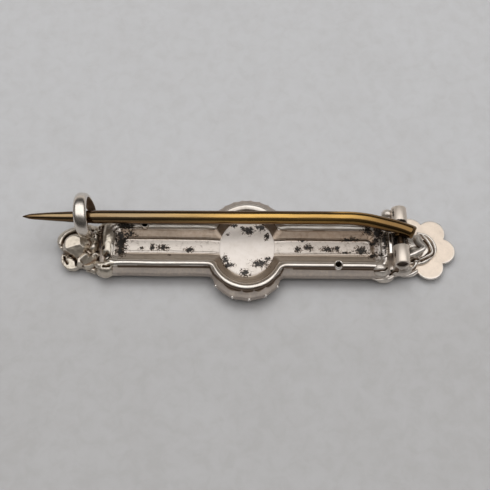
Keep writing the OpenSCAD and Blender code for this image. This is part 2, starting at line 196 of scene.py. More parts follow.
# The pointed end, in the bud's columns
POINT_ROPES = [
    (0.31, [
        (17.95, -0.82, 1.95), (18.5, -0.56, 2), (19.1, -0.24, 2), (19.52, 0.1, 1.95), (19.3, 0.55, 1.8),
        (19.05, 0.95, 1.65), (18.95, 1.5, 1.5),
    ]),
    (0.15, [
        (18.6, -1.2, 1.42), (19.1, -0.97, 1.45), (19.82, -0.64, 1.45), (20.45, -0.28, 1.45),
        (20.58, 0.23, 1.45), (20.38, 0.86, 1.45), (20.05, 1.5, 1.45), (19.7, 2, 1.4),
    ]),
    (0.15, [
        (19, -1.4, 1.15), (19.9, -0.95, 1.15), (20.6, -0.45, 1.15), (20.98, 0.15, 1.15), (21.02, 0.8, 1.15),
        (20.68, 1.6, 1.15), (20.1, 2.15, 1.15), (19.2, 2.4, 1.15),
    ]),
    (0.19, [
        (18.7, -1.4, 1.25), (18.52, -1.82, 1.22), (18.07, -2.15, 1.2), (17.4, -2.45, 1.2), (17, -2.6, 1.2),
    ]),
    (0.2, [(18.78, -2.2, 0.95), (18.22, -2.55, 0.95), (17.5, -2.8, 0.95), (17.09, -2.75, 0.95)]),
]
POINT_LUMPS = [(18.73, -1.12, 1.35, 0.24, 0.22, 0.26, 0), (18.6, -0.2, 1.2, 1, 0.7, 0.72, 20)]
POINT_GROOVES = [
    (0.22, 0.08, [(19.2, -0.85), (19.9, -0.42), (20.28, 0.05), (20.15, 0.8), (19.8, 1.4)]),
    (0.15, 0.08, [(19.3, -1.15), (20, -0.78), (20.7, -0.35), (20.8, 0.25), (20.7, 0.9), (20.35, 1.55)]),
    (0.3, 0.12, [(18.1, -1.15), (18.5, -1.05), (18.95, -1)]),
    (0.25, 0.1, [(17.3, -2.75), (17.9, -2.45), (18.4, -2.15), (18.75, -1.8)]),
]
# Top of the pointed end's plate. Columns: inset, height at the hinge, height at the point, 1 at an edge
POINT_SECTION = [
    (0.1, 0.86, 0.86, 1), (0.02, 1, 0.98, 0), (0.06, 1.2, 1.15, 0), (0.2, 1.27, 1.22, 0),
    (0.6, 1.36, 1.28, 0), (1.2, 1.5, 1.4, 0), (1.6, 1.55, 1.45, 1),
]
# Edge of the flower's plate. Columns: inset, height, 1 at an edge
PLATE_SECTION = [
    (0.12, 0.55, 0), (0.03, 0.58, 0), (0, 0.64, 0), (0, 0.8, 0), (0.03, 0.855, 0), (0.08, 0.88, 0),
    (0.4, 0.88, 0), (1, 0.878, 0), (1.8, 0.876, 1),
]

# Catch, seen along the bar. Columns: angle round the pin from the far side, width, thickness, shift
CATCH_PATH = [
    (-48, 0.95, 0.44, 0.15), (-30, 1.1, 0.48, -0.08), (-10, 1.2, 0.54, -0.32), (15, 1.28, 0.6, -0.5),
    (40, 1.34, 0.64, -0.57), (65, 1.4, 0.66, -0.56), (90, 1.44, 0.68, -0.53), (115, 1.48, 0.68, -0.47),
    (140, 1.5, 0.68, -0.37), (165, 1.48, 0.68, -0.24), (188, 1.4, 0.68, -0.1), (205, 1.34, 0.7, 0),
    (222, 1.4, 0.78, 0.1),
]
CATCH_MIDDLE = Vector((-17.62, 2.75, 3.9))
# Shares of the strip's thickness outside and inside its line, and how square its sides are: 1 is round
CATCH_OUTSIDE, CATCH_INSIDE, CATCH_BOXINESS = 0.62, 0.38, 0.8
# Taper of the pin: distance from the medallion's middle, radius, 0. It ends in the full wire
PIN_TAPER = [(-23.75, 0.29, 0), (-22.6, 0.39, 0), (-21.5, 0.47, 0), (-19.2, 0.6, 0)]
TAPER_END = -16.5
# Rounded end of the pin's root: distance from the end, inset
PIN_ROOT = [(0.2, 0), (0.09, 0.04), (0.02, 0.13), (0, 0.26)]
# Where the pin's wire starts to turn further
TAIL_BEND = 15.9
# How far the straight wire leans to the bar's middle line, for each millimetre towards the point
PIN_SLOPE = 0.006
SLOPE_START = 8
# How far the wire sways up and across
PIN_SWAY_UP, PIN_SWAY_ACROSS = 0.012, 0.02

# Black tarnish. Columns: along, across, half length, half width, strength
RECESS_STAINS = [
    (-14, 0.7, 0.75, 2, 1), (-13.6, 2.3, 0.98, 0.46, 1), (-14, -0.6, 0.57, 0.8, 0.9),
    (-10.5, -0.1, 0.25, 0.52, 1), (-9.4, -0.05, 0.75, 0.38, 0.95), (-11.7, -0.2, 0.37, 0.28, 0.8),
    (-6.4, -0.3, 0.57, 0.31, 0.95), (-8.5, -1, 0.25, 0.17, 0.8), (6.2, 0.9, 0.57, 0.14, 0.9),
    (5.6, -0.1, 0.52, 0.39, 0.95), (6.8, 0.1, 0.63, 0.43, 0.9), (9, -0.1, 0.86, 0.34, 0.95),
    (10, 0, 0.34, 0.34, 1), (10.8, -0.5, 0.75, 0.2, 0.9), (11.5, 1.1, 0.98, 0.34, 0.95),
    (12.6, -0.2, 0.8, 0.55, 1), (14, 0.6, 0.57, 0.29, 0.95), (14.5, 1.7, 0.63, 0.92, 1),
    (13.4, 2.2, 0.46, 0.34, 0.9), (13.8, -0.9, 0.34, 0.29, 1), (14.7, -0.9, 0.37, 0.41, 0.9),
    (-2.4, -1.5, 0.38, 0.57, 1), (-1.9, -2.2, 0.57, 0.34, 1), (-0.2, -3.05, 0.57, 0.41, 1),
    (1.5, -1.95, 0.98, 0.48, 1), (2.3, -1.4, 0.48, 0.29, 0.9), (-0.55, 2.4, 0.29, 0.29, 0.9),
    (0.2, 2.1, 0.71, 0.51, 1), (1.5, 2.55, 0.69, 0.46, 1), (2.2, 1.4, 0.34, 0.57, 0.95),
    (-1.5, 2.7, 0.48, 0.3, 0.95), (-2.1, 1.6, 0.28, 0.21, 0.8), (-15.3, -1.35, 0.46, 0.63, 1),
    (14.3, 0.9, 0.7, 1.5, 0.6), (15.2, 0.5, 0.4, 2, 0.85), (13.4, 1.9, 1, 0.5, 0.75),
    (14, -0.8, 0.8, 0.5, 0.75), (-12.9, 1.6, 1, 0.8, 0.7),
]
# Black tarnish on the ends, in the same columns. The row at 16.9 along, on the hinge's foot between the
# tubes, is painted shadow under the pin
END_STAINS_AND_SHADOW = [
    (-16.05, -1.42, 0.5, 0.3, 1), (-16.6, -0.55, 0.25, 0.14, 1), (-15.8, -0.45, 0.22, 0.25, 1),
    (-16.92, 0.92, 0.1, 0.1, 0.9), (-16.62, 1.21, 0.12, 0.1, 0.95), (-16.1, 0.9, 0.16, 1.5, 0.75),
    (16.9, 0.95, 1.3, 1.5, 1), (15.75, -2.65, 0.35, 0.14, 0.75), (15.75, 0.6, 0.14, 1.2, 0.6),
    (15.95, 3.7, 0.12, 0.6, 0.7), (-17, -2.1, 0.5, 0.2, 0.5), (15.3, 0.9, 0.5, 1.6, 0.75),
    (-16.3, 0.2, 0.2, 1.8, 0.7), (-17.2, 1.9, 0.5, 0.4, 0.6),
]
# Painted shade on the hinge tubes, in the same columns: a band down each tube's left side, and the ends by
# the pin's eye
TUBE_PAINTED_SHADE = [
    (16.02, -1.5, 0.12, 1, 0.6), (16.1, 3.4, 0.12, 0.9, 0.7), (16.8, -0.42, 0.8, 0.12, 0.9),
    (16.8, 2.4, 0.9, 0.14, 0.9),
]

# Soft lights over the brooch: name, place and size in metres, brightness
SOFTBOXES = [
    ("main_softbox", (0.02, 0.025, 0.4), (0.84, 0.44), 1.1),
    ("wide_softbox", (0.02, 0.06, 0.42), (1, 0.7), 0.22),
]
# Window behind the brooch, which throws its soft shadow: tilt from upright, distance, size, brightness
WINDOW = (33, 0.4, 0.34, 1.65)
# Brightness of the room by the tilt across the bar in degrees, from the near side over the top
ROOM = [
    (-180, 0.08), (-92, 0.1), (-80, 0.1), (-77, 0.04), (-63, 0.04), (-59, 0.1), (-35, 0.1), (-28, 0.2),
    (32, 0.2), (38, 0.05), (68, 0.05), (74, 0.65), (92, 0.65), (100, 0.1),
]
ROOM_TINT = (1, 0.95, 0.9)
# Painted shade on the table's front, as a share of its colour, and the table's half size in metres
TABLE_SHADE = (0.82, 0.805, 0.785, 1)
TABLE_HALF = 1.5
# Camera: lens in millimetres, turn and tilt in degrees, distance in metres
LENS = 66.12
CAMERA_YAW, CAMERA_PITCH, CAMERA_DISTANCE = 0.65, 63, 0.09901
# Where it looks, in millimetres from the medallion's middle
CAMERA_AIM = (-0.22, -0.04, 2.6)


def length(name, description, default):
    """Size that a user may change, given in millimetres and kept in metres"""
    return bpy.props.FloatProperty(
        name=name, description=description, default=default * MM, unit="LENGTH", precision=5
    )


def turn(name, description, degrees):
    """Angle that a user may change"""
    return bpy.props.FloatProperty(
        name=name, description=description, default=math.radians(degrees), subtype="ANGLE"
    )


def colour(name, description, default):
    """Colour that a user may change"""
    return bpy.props.FloatVectorProperty(
        name=name, description=description, default=default, subtype="COLOR", size=3, min=0, max=1
    )


class BodySizes(bpy.types.PropertyGroup):
    """Sizes of the bar and the medallion"""

    bar_half: length("Bar half length", "From the middle to the crest of the end rim", 15.2)
    rim_across: length("Rim across", "From the middle line to the crest of the side rims", 2.35)
    oval_along: length("Oval along", "Half width of the medallion along the bar", 4.3)
    oval_across: length("Oval across", "Half width of the medallion across the bar", 4.95)
    turn_left: length("Left turn radius", "Radius of the rim between the left half and the oval", 0.7)
    turn_right: length("Right turn radius", "Radius of the rim between the right half and the oval", 1.1)
    corner_radius: length("Corner radius", "Radius of the rim at the bar's corners", 0.95)
    skirt: length("Skirt", "How far the sloping skirt stands outside the rim's crest", 1.22)
    bar_shift: length("Bar shift", "How far the bar's rims lie off its middle line", 0.09)
    disc_along: length("Disc along", "Half width of the raised disc along the bar", 3.05)
    disc_across: length("Disc across", "Half width of the raised disc across the bar", 3.4)
    scallop_depth: length("Scallop depth", "How far the scallops of the border stand out", 0.12)
    bead_radius: length("Bead radius", "Radius of the beads between the scallops", 0.19)
    vent_radius: length("Vent radius", "Radius of the vents through the rims", 0.33)
    collar_radius: length("Collar radius", "Radius of the raised collars round the vents", 0.52)
    shoe_radius: length("Horseshoe radius", "Outer radius of the horseshoe on the face", 3.3)
    shoe_width: length("Horseshoe width", "Width of the horseshoe's bar", 1.25)


class EndSizes(bpy.types.PropertyGroup):
    """Sizes of the flower, the hinge and the catch"""

    flower_along: length("Flower along", "From the medallion's middle to the flower's", 19.3)
    flower_across: length("Flower across", "Offset of the flower's middle", 0.65)
    petal_ring: length("Petal ring", "From the flower's middle to a petal's", 2.45)
    petal_radius: length("Petal radius", "Radius of a petal", 1.53)
    flower_turn: turn("Flower turn", "Turn of the petals", -7)
    tube_radius: length("Hinge tube radius", "Outer radius of the hinge tubes", 0.86)
    mouth_radius: length("Tube mouth radius", "Radius of the open ends of the tubes", 0.64)
    catch_radius: length("Catch radius", "Radius of the catch's loop", 2.14)


class PinSizes(bpy.types.PropertyGroup):
    """Sizes of the brass pin"""

    wire_radius: length("Wire radius", "Radius of the pin's wire", 0.74)
    reach: length("Point reach", "From the medallion's middle to the pin's point", 24.64)
    across: length("Across", "From the bar's middle line to the straight wire", 2.52)
    height: length("Height", "Height of the wire's middle", 4.3)
    bend_start: length("Bend start", "Where the wire starts to bend to the hinge", 10.8)
    bend_radius: length("Bend radius", "Radius of the bend", 13.0)
    bend_turn: turn("Bend turn", "Turn of the wire's root", 15)
    tail_turn: turn("Tail turn", "Further turn of the wire behind the hinge", 13)
    tail: length("Tail", "Where the wire's root is cut off", 18.2)
    eye_radius: length("Eye radius", "Outer radius of the eye round the rivet", 0.82)
    eye_half: length("Eye half width", "Half width of the eye", 0.78)
    bore_radius: length("Bore radius", "Radius of the bores round the rivet", 0.43)


class Finish(bpy.types.PropertyGroup):
    """Colours of the metals and the table"""

    silver: colour("Silver", "Clean polished silver", (0.86, 0.82, 0.77))
    warm_silver: colour("Warm silver", "Silver under a thin warm tarnish", (0.6, 0.52, 0.44))
    olive_silver: colour("Olive silver", "Aged silver of the bud", (0.66, 0.61, 0.51))
    skirt: colour("Skirt", "Grey silver of the sloping skirt", (0.47, 0.41, 0.37))
    frosted: colour("Frosted silver", "Matt white silver in the recess", (0.9, 0.83, 0.76))
    disc: colour("Disc", "Matt white silver of the raised disc", (0.84, 0.772, 0.715))
    plate: colour("Petal plate", "Matt silver of the flower's back", (0.88, 0.755, 0.635))
    # Brown and black are tarnish, and also painted shade: under and inside the rim, on the recess's far wall,
    # inside the catch, in the vents and at the hinge
    brown: colour("Brown tarnish", "Silver where it has gone brown", (0.2, 0.135, 0.09))
    black: colour("Black tarnish", "Silver where it has gone black", (0.014, 0.01, 0.007))
    brass: colour("Brass", "Brass of the pin", (0.62, 0.38, 0.115))
    pale_brass: colour("Pale brass", "Brass towards the pin's point", (0.31, 0.222, 0.125))
    dull_brass: colour("Dull brass", "Brass where it has gone brown", (0.17, 0.1, 0.04))
    # Painted shade: dark brown for the wire's underside and far side
    brown_brass: colour("Brown brass", "Brass under the wire", (0.1, 0.055, 0.025))
    # Near black: the rivet's own brown, darkened as painted shadow under the pin
    rivet: colour("Rivet", "Brown metal of the rivet", (0.08, 0.05, 0.03))
    table: colour("Table", "Pale table", (0.545, 0.547, 0.558))


def values_of(group):
    """Settings of a group by name, with the lengths in millimetres and the colours opaque"""
    values = SimpleNamespace()
    for name in type(group).__annotations__:
        value = getattr(group, name)
        kind = group.bl_rna.properties[name]
        if kind.is_array:
            value = (*value, 1)
        elif kind.unit == "LENGTH":
            value /= MM
        setattr(values, name, value)
    return values


def clamped(value):
    return min(1, max(0, value))


def within(value, limits):
    return limits[0] < value < limits[1]


def circle(steps):
    """Cosine and sine of steps round a circle"""
    return [(math.cos(math.tau * i / steps), math.sin(math.tau * i / steps)) for i in range(steps)]


def halved(past, low):
    """Angle up to a right angle where a test starts to be true"""
    high = math.pi / 2
    for _ in range(40):
        angle = (low + high) / 2
        low, high = (low, angle) if past(angle) else (angle, high)
    return angle


def flowing(rows, steps):
    """Rows with more between them on a smooth curve, except where the last column marks an edge"""
    made = []
    for i in range(len(rows) - 1):
        here, there = rows[i], rows[i + 1]
        before = here if i == 0 or here[-1] else rows[i - 1]
        after = there if i + 2 == len(rows) or there[-1] else rows[i + 2]
        for t in [k / steps for k in range(steps)]:
            made.append([
                0.5 * (2 * b + (c - a) * t + (2 * a - 5 * b + 4 * c - d) * t * t
                       + (3 * b - a - 3 * c + d) * t ** 3)
                for a, b, c, d in zip(before[:-1], here[:-1], there[:-1], after[:-1])
            ])
    made.append(list(rows[-1][:-1]))
    return made


def through(points, steps):
    """Smooth line through points, as close points"""
    return [Vector(row) for row in flowing([(*p, 0) for p in points], steps)]


def ring_of(bm, points):
    """Closed ring of edges through points"""
    verts = [bm.verts.new(p) for p in points]
    return verts, [bm.edges.new(pair) for pair in zip(verts, verts[1:] + verts[:1])]


def skin(rings):
    """Closed skin through rings of points, pulled from the first ring, with a face over each end"""
    bm = bmesh.new()
    verts, edges = ring_of(bm, rings[0])
    bmesh.ops.contextual_create(bm, geom=edges)
    for points in rings[1:]:
        made = bmesh.ops.extrude_edge_only(bm, edges=edges)["geom"]
        fresh = {g for g in made if isinstance(g, bmesh.types.BMVert)}
        verts = [next(e.other_vert(v) for e in v.link_edges if e.other_vert(v) in fresh) for v in verts]
        for v, p in zip(verts, points):
            v.co = p
        edges = [bm.edges.get(pair) for pair in zip(verts, verts[1:] + verts[:1])]
    bmesh.ops.contextual_create(bm, geom=edges)
    return bm


def shrinking(outline, middle, section, steps):
    """Rings of an outline. Each row of the section is a share of the outline, a height and 1 at an edge"""
    return [
        [middle + share * (p - middle) + Vector((0, 0, high)) for p in outline]
        for share, high in flowing(section, steps)
    ]


def lump(bm, x, y, z, rx, ry, rz, degrees):
    """One rounded lump of cast metal"""
    where = Matrix.Translation((x, y, z)) @ Matrix.Rotation(math.radians(degrees), 4, "Z")
    bmesh.ops.create_icosphere(bm, subdivisions=4, radius=1, matrix=where @ Matrix.Diagonal((rx, ry, rz, 1)))


def rope(bm, radius, points):
    """Rounded ridge along a smooth line, as a chain of small balls that melt together"""
    for p in through(points, 6):
        bmesh.ops.create_icosphere(bm, subdivisions=2, radius=radius, matrix=Matrix.Translation(p))


def cast(bm, lumps, ropes, softness):
    """Melts lumps and ridges into one casting with soft joints"""
    for row in lumps:
        lump(bm, *row)
    for row in ropes:
        rope(bm, *row)
    return worked(bm, [
        ("REMESH", {"mode": "VOXEL", "voxel_size": VOXEL, "adaptivity": 0}),
        ("SMOOTH", {"factor": 0.5, "iterations": softness}),
    ])


def filed(bm, flats):
    """Files flats on what stands proud of them"""
    for x, y, z, lean_x, lean_y, reach in flats:
        normal = Vector((math.tan(math.radians(lean_x)), math.tan(math.radians(lean_y)), 1)).normalized()
        start = Vector((x, y, z))
        for v in bm.verts:
            proud = (v.co - start).dot(normal)
            if proud > 0 and (v.co.xy - start.xy).length < reach:
                v.co -= normal * proud


def crevices(bm):
    """Layer that keeps how much grime each point has, and on the bar the painted shade under and inside the
    rim
    """
    return bm.verts.layers.float.get("crevice") or bm.verts.layers.float.new("crevice")


def pressed(bm, grooves, above=0.5):
    """Presses grooves down into the back, with grime in them"""
    layer = crevices(bm)
    for depth, width, points in grooves:
        line = through(points, 5)
        for v in bm.verts:
            if v.co.z > above and (v.co.xy - line[0]).length < 4:
                far = min((v.co.xy - p).length for p in line) / width
                if far < 3:
                    v.co.z -= depth * math.exp(-far * far)
                    v[layer] = max(v[layer], 0.11 * math.exp(-1.5 * far * far))


def rounded(bm, edges, offset):
    """Rounds edges"""
    bmesh.ops.bevel(bm, geom=edges, offset=offset, segments=3, affect="EDGES", profile=0.5, material=-1)


def block(bm, low, high, edge):
    """Box with rounded edges"""
    low, high = Vector(low), Vector(high)
    where = Matrix.Translation((low + high) / 2) @ Matrix.Diagonal((*(high - low), 1))
    made = bmesh.ops.create_cube(bm, size=1, matrix=where)
    rounded(bm, list({e for v in made["verts"] for e in v.link_edges}), edge)


def rod(bm, where, radius, depth, segments=48, end_radius=None):
    """Round rod with flat ends, with its middle at the place"""
    bmesh.ops.create_cone(
        bm, cap_ends=True, segments=segments, radius1=radius, radius2=end_radius or radius, depth=depth,
        matrix=where,
    )


def axle_rod(middle, radius, depth, segments=48):
    """Mesh of a rod that lies across the bar"""
    bm = bmesh.new()
    rod(bm, Matrix.Translation(middle) @ Matrix.Rotation(math.pi / 2, 4, "X"), radius, depth, segments)
    return bm


def turned(bm, profile, middle, axis, steps=64):
    """Turns a closed profile of (radius, along) pairs about an axis through the middle"""
    axis = Vector(axis)
    side = axis.orthogonal().normalized()
    middle = Vector(middle)
    verts, edges = ring_of(bm, [middle + side * r + axis * a for r, a in profile])
    bmesh.ops.spin(
        bm, geom=verts + edges, cent=middle, axis=axis, angle=math.tau, steps=steps, use_merge=True
    )


def tidy(bm):
    """Merges doubles and turns the faces outwards"""
    bmesh.ops.remove_doubles(bm, verts=bm.verts, dist=1e-4)
    bmesh.ops.recalc_face_normals(bm, faces=bm.faces)


def to_object(bm, name):
    """Object in the scene with the mesh"""
    mesh = bpy.data.meshes.new(name)
    bm.to_mesh(mesh)
    bm.free()
    obj = bpy.data.objects.new(name, mesh)
    bpy.context.scene.collection.objects.link(obj)
    return obj


def worked(bm, modifiers):
    """The mesh after some modifiers. Each modifier is a kind and its settings"""
    tidy(bm)
    obj = to_object(bm, "worked")
    for kind, settings in modifiers:
        modifier = obj.modifiers.new(kind, kind)
        for key, value in settings.items():
            setattr(modifier, key, value)
    result = bpy.data.meshes.new_from_object(obj.evaluated_get(bpy.context.evaluated_depsgraph_get()))
    bpy.data.meshes.remove(obj.data)
    out = bmesh.new()
    out.from_mesh(result)
    bpy.data.meshes.remove(result)
    return out


def cut(bm, tool, operation="DIFFERENCE"):
    """Cuts the mesh with another one, or joins them"""
    tidy(tool)
    obj = to_object(tool, "tool")
    out = worked(bm, [("BOOLEAN", {"object": obj, "operation": operation, "solver": "EXACT"})])
    bpy.data.meshes.remove(obj.data)
    return out


def cut_off(bm, height, side):
    """Cuts off what is past a height, below it for -1 and above it for 1"""
    bmesh.ops.bisect_plane(
        bm, geom=bm.verts[:] + bm.edges[:] + bm.faces[:], plane_co=(0, 0, height), plane_no=(0, 0, side),
        clear_outer=True,
    )


def close_cuts(bm):
    bmesh.ops.holes_fill(bm, edges=[e for e in bm.edges if e.is_boundary])


def uneven(bm, depth, size, above=-1):
    """Hand-finished unevenness: moves the surface in and out, and leaves what is low alone"""
    bm.normal_update()
    for v in bm.verts:
        if v.co.z > above:
            v.co += v.normal * depth * noise.fractal(v.co / size, 0.6, 2.1, 3)


def relaxed(bm, passes=1):
    """Smooths the mesh a little"""
    for _ in range(passes):
        bmesh.ops.smooth_vert(
            bm, verts=bm.verts, factor=0.5, use_axis_x=True, use_axis_y=True, use_axis_z=True
        )


def mark_crevices(bm):
    """Keeps on each point how deep it lies in a crevice, for the tarnish in the materials"""
    layer = crevices(bm)
    bm.normal_update()
    before = [(v, v.co.copy(), v.normal.copy()) for v in bm.verts]
    relaxed(bm, 10)
    for v, co, normal in before:
        v[layer] += (v.co - co).dot(normal)
        v.co = co


def place(name, bm, materials, sharp=35, body="body", node="brooch_body"):
    """Makes the mesh a piece of the brooch in the frame"""
    tidy(bm)
    mark_crevices(bm)
    for face in bm.faces:
        face.smooth = True
    for edge in bm.edges:
        edge.smooth = edge.is_manifold and edge.calc_face_angle() < math.radians(sharp)
    bm.transform(TO_FRAME)
    obj = to_object(bm, name)
    for material in materials:
        obj.data.materials.append(material)
    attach(obj, body)
    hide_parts(node)


class RimLine:
    """Crest line of the rim round the bar and the medallion, with the lines beside it"""

    # Parts of a quarter of the line: kind, steps, the first and the last of them
    parts = [
        ("oval", 60, 0, 59), ("turn", 10, 0, 10), ("bar", 60, 1, 60), ("corner", 8, 1, 8), ("end", 8, 1, 8),
    ]
    least_corner = 0.5
    skirt_turn = 0.3
    floor_turn = 0.4
    tuck = 1.2
    bar_share = 0.88
    # How the rims' shift off the middle line differs in the left and right half, and on the far side.
    # It eases in beside the medallion, and out past the bar's end
    shift_share = {-1: 1.9, 1: 0.7}
    far_shift = {-1: 0.04, 1: 0.14}
    shift_start, shift_end, easing = 2.5, 16, 2
    # Painted shade, by distance outside the crest and height: the groove inside the rim, and the one under it
    inner_groove = ((-0.53, -0.42), (2.2, 2.42))
    outer_groove = ((0.25, 1.2), (1.7, 2.52))
    inner_grime = 0.6
    grime_end = 14.1
    # How far out the painted shade under the rim reaches, further on the right and in the pockets
    grime_out, right_grime_out, right_start = 0.4, 0.47, 5
    pocket_depth, pockets_across = 0.18, -3

    def __init__(self, sizes):
        self.half, self.across = sizes.bar_half, sizes.rim_across
        self.a, self.b = sizes.oval_along, sizes.oval_across
        self.turns = {-1: sizes.turn_left, 1: sizes.turn_right}
        self.corner, self.skirt = sizes.corner_radius, sizes.skirt
        self.depth, self.shift = sizes.scallop_depth, sizes.bar_shift
        self.joins = {}
        quarter = []
        for kind, steps, first, last in self.parts:
            quarter += [(kind, i / steps) for i in range(first, last + 1)]
        back = quarter[::-1]
        self.stations = [(*q, 1, 1) for q in back] + [(*q, -1, 1) for q in quarter[1:]]
        self.stations += [(*q, -1, -1) for q in back[1:]] + [(*q, 1, -1) for q in quarter[1:-1]]

    def oval_normal(self, angle):
        return Vector((self.b * math.cos(angle), self.a * math.sin(angle), 0)).normalized()

    def oval(self, angle, out):
        return Vector((self.a * math.cos(angle), self.b * math.sin(angle), 0)) + out * self.oval_normal(angle)

    def tucked(self, angle, out):
        """The medallion's skirt is narrower towards the bar"""
        return out * (1 - self.tuck * math.cos(angle) ** 4) if out > 0 else out

    def edge(self, angle, out, more=0):
        """Point of the oval's line at this distance from the crest, or further out"""
        return self.oval(angle, self.tucked(angle, out) + more)

    def bar_out(self, out):
        return out * self.bar_share if out > 0 else out

    def turn_of(self, out, side):
        """Radius of the turn at this distance from the crest, smaller at the skirt's edge and at the floor"""
        crest = self.turns[side]
        if out > 0:
            return crest + min(1, out / self.skirt) * (self.skirt_turn - crest)
        return crest + min(1, out / FLOOR_OUT) * (self.floor_turn - crest)

    def join(self, out, side):
        """Where the oval meets the turn into the bar: the angle, and the turn's middle and radius"""
        key = (round(out, 5), side)
        if key not in self.joins:
            radius = self.turn_of(out, side)
            limit = self.across + self.bar_out(out) + radius
            angle = halved(lambda a: self.edge(a, out, radius).y > limit, math.radians(10))
            self.joins[key] = (angle, self.edge(angle, out, radius), radius)
        return self.joins[key]

    def angle_at(self, along, out):
        """Angle of the oval's line at this place along the bar"""
        return halved(lambda a: self.edge(a, out).x <= abs(along), 0)

    def scallop(self, along, side):
        """Depth of the scallops at this place along the bar"""
        for left, right in zip(CUSPS[side], CUSPS[side][1:]):
            if left <= along <= right:
                return -self.depth * SCALLOP_SHARE[side] * math.sin(math.pi * (along - left) / (right - left))
        return 0

    def under_rim(self, p):
        """Painted shade: 1 in the groove under the rim and in the pockets that hang from it, less in the
        groove inside
        """
        x, y = abs(p.x), abs(p.y)
        angle = math.atan2(y / self.b, x / self.a)
        beyond_oval = (Vector((x, y, 0)) - self.oval(angle, 0)).dot(self.oval_normal(angle))
        beyond_bar = max(abs(p.y - self.shift) - self.across, x - self.half)
        out = min(beyond_oval, beyond_bar)
        if x > self.grime_end:
            return 0
        if within(out, self.inner_groove[0]) and within(p.z, self.inner_groove[1]):
            return self.inner_grime
        if not (within(out, self.outer_groove[0]) and within(p.z, self.outer_groove[1])):
            return 0
        limit = self.grime_out if p.x < self.right_start else self.right_grime_out
        for left, right in zip(POCKETS, POCKETS[1:]):
            if p.y < self.pockets_across and left < p.x < right:
                limit += self.pocket_depth * math.sin(math.pi * (p.x - left) / (right - left)) ** 0.7
        return clamped((limit + 0.05 - out) / 0.08)

    def point(self, station, out, share):
        kind, t, side_x, side_y = station
        end, turn_middle, radius = self.join(out, side_x)
        wide = self.bar_out(out)
        corner = max(self.least_corner, self.corner + wide)
        if kind == "oval":
            angle = math.pi / 2 - t * (math.pi / 2 - end)
            along = self.edge(angle, self.skirt).x * side_x
            p = self.edge(angle, out, share * self.scallop(along, side_y))
        elif kind == "turn":
            normal = self.oval_normal(end)
            start = math.atan2(normal.y, normal.x) + math.pi
            angle = start + t * (1.5 * math.pi - start)
            p = turn_middle + radius * Vector((math.cos(angle), math.sin(angle), 0))
        elif kind == "bar":
            stop = self.half + wide - corner
            p = Vector((turn_middle.x + t * (stop - turn_middle.x), self.across + wide, 0))
        elif kind == "corner":
            angle = math.pi / 2 * (1 - t)
            middle = Vector((self.half + wide - corner, self.across + wide - corner, 0))
            p = middle + corner * Vector((math.cos(angle), math.sin(angle), 0))
        else:
            p = Vector((self.half + wide, (self.across + wide - corner) * (1 - t), 0))
        beside = clamped((p.x - self.shift_start) / self.easing)
        beside *= clamped((self.shift_end - p.x) / self.easing)
        shift = self.shift * beside * self.shift_share[side_x]
        if side_y > 0:
            shift += self.far_shift[side_x] * beside
        return Vector((p.x * side_x, p.y * side_y + shift, 0))

    def ring(self, out, height, share):
        return [self.point(s, out, share) + Vector((0, 0, height)) for s in self.stations]


class Nodes:
    """Node tree with short ways to fill it. An input is a value, or the output that feeds it"""

    def __init__(self, tree):
        self.tree = tree

    def feed(self, socket, value):
        if isinstance(value, bpy.types.NodeSocket):
            self.tree.links.new(value, socket)
        else:
            socket.default_value = value

    def add(self, kind, inputs=None, **settings):
        """Adds a node and returns its outputs"""
        node = self.tree.nodes.new("ShaderNode" + kind)
        for key, value in settings.items():
            setattr(node, key, value)
        for key, value in (inputs or {}).items():
            self.feed(node.inputs[key], value)
        return node.outputs

    def math(self, operation, *values, clamp=False):
        return self.add("Math", dict(enumerate(values)), operation=operation, use_clamp=clamp)[0]

    def plus(self, first, second):
        return self.math("ADD", first, second)

    def minus(self, first, second):
        return self.math("SUBTRACT", first, second)

    def times(self, first, second):
        return self.math("MULTIPLY", first, second)

    def times_plus(self, first, second, third, clamp=True):
        return self.math("MULTIPLY_ADD", first, second, third, clamp=clamp)

    def most(self, first, second):
        return self.math("MAXIMUM", first, second)

    def scaled(self, vector, factors):
        return self.add("VectorMath", {0: vector, 1: factors}, operation="MULTIPLY")[0]

    def size(self, vector):
        return self.add("VectorMath", {0: vector}, operation="LENGTH")["Value"]

    def axes(self, vector):
        return self.add("SeparateXYZ", {0: vector})

    def noise(self, where, scale, detail, roughness=0.7, distortion=0.0):
        inputs = {"Vector": where, "Scale": scale, "Detail": detail, "Roughness": roughness}
        return self.add("TexNoise", {**inputs, "Distortion": distortion})[0]

    def ramp(self, value, low, high, to_low=0.0, to_high=1.0):
        """Smooth step from one value to another"""
        inputs = {"Value": value, "From Min": low, "From Max": high, "To Min": to_low, "To Max": to_high}
        return self.add("MapRange", inputs, interpolation_type="SMOOTHSTEP")[0]

    def blend(self, share, first, second):
        """Mixes two colours"""
        return self.add("Mix", {0: share, 6: first, 7: second}, data_type="RGBA")[2]

    def use(self, group, **inputs):
        """Places a shared effect and returns its outputs"""
        return self.add("Group", inputs, node_tree=bpy.data.node_groups[group])


class Effect(Nodes):
    """Node group of an effect that materials share"""

    vectors = ("Vector", "Stretch")

    def __init__(self, name, inputs, outputs):
        super().__init__(bpy.data.node_groups.new(name, "ShaderNodeTree"))
        for side, labels in (("INPUT", inputs), ("OUTPUT", outputs)):
            for label in labels:
                kind = "NodeSocketVector" if label in self.vectors else "NodeSocketFloat"
                self.tree.interface.new_socket(label, in_out=side, socket_type=kind)
        given = self.tree.nodes.new("NodeGroupInput").outputs
        self.given = [given[label] for label in inputs]
        self.out = self.tree.nodes.new("NodeGroupOutput").inputs

    def give(self, *values):
        for socket, value in zip(self.out, values):
            self.feed(socket, value)


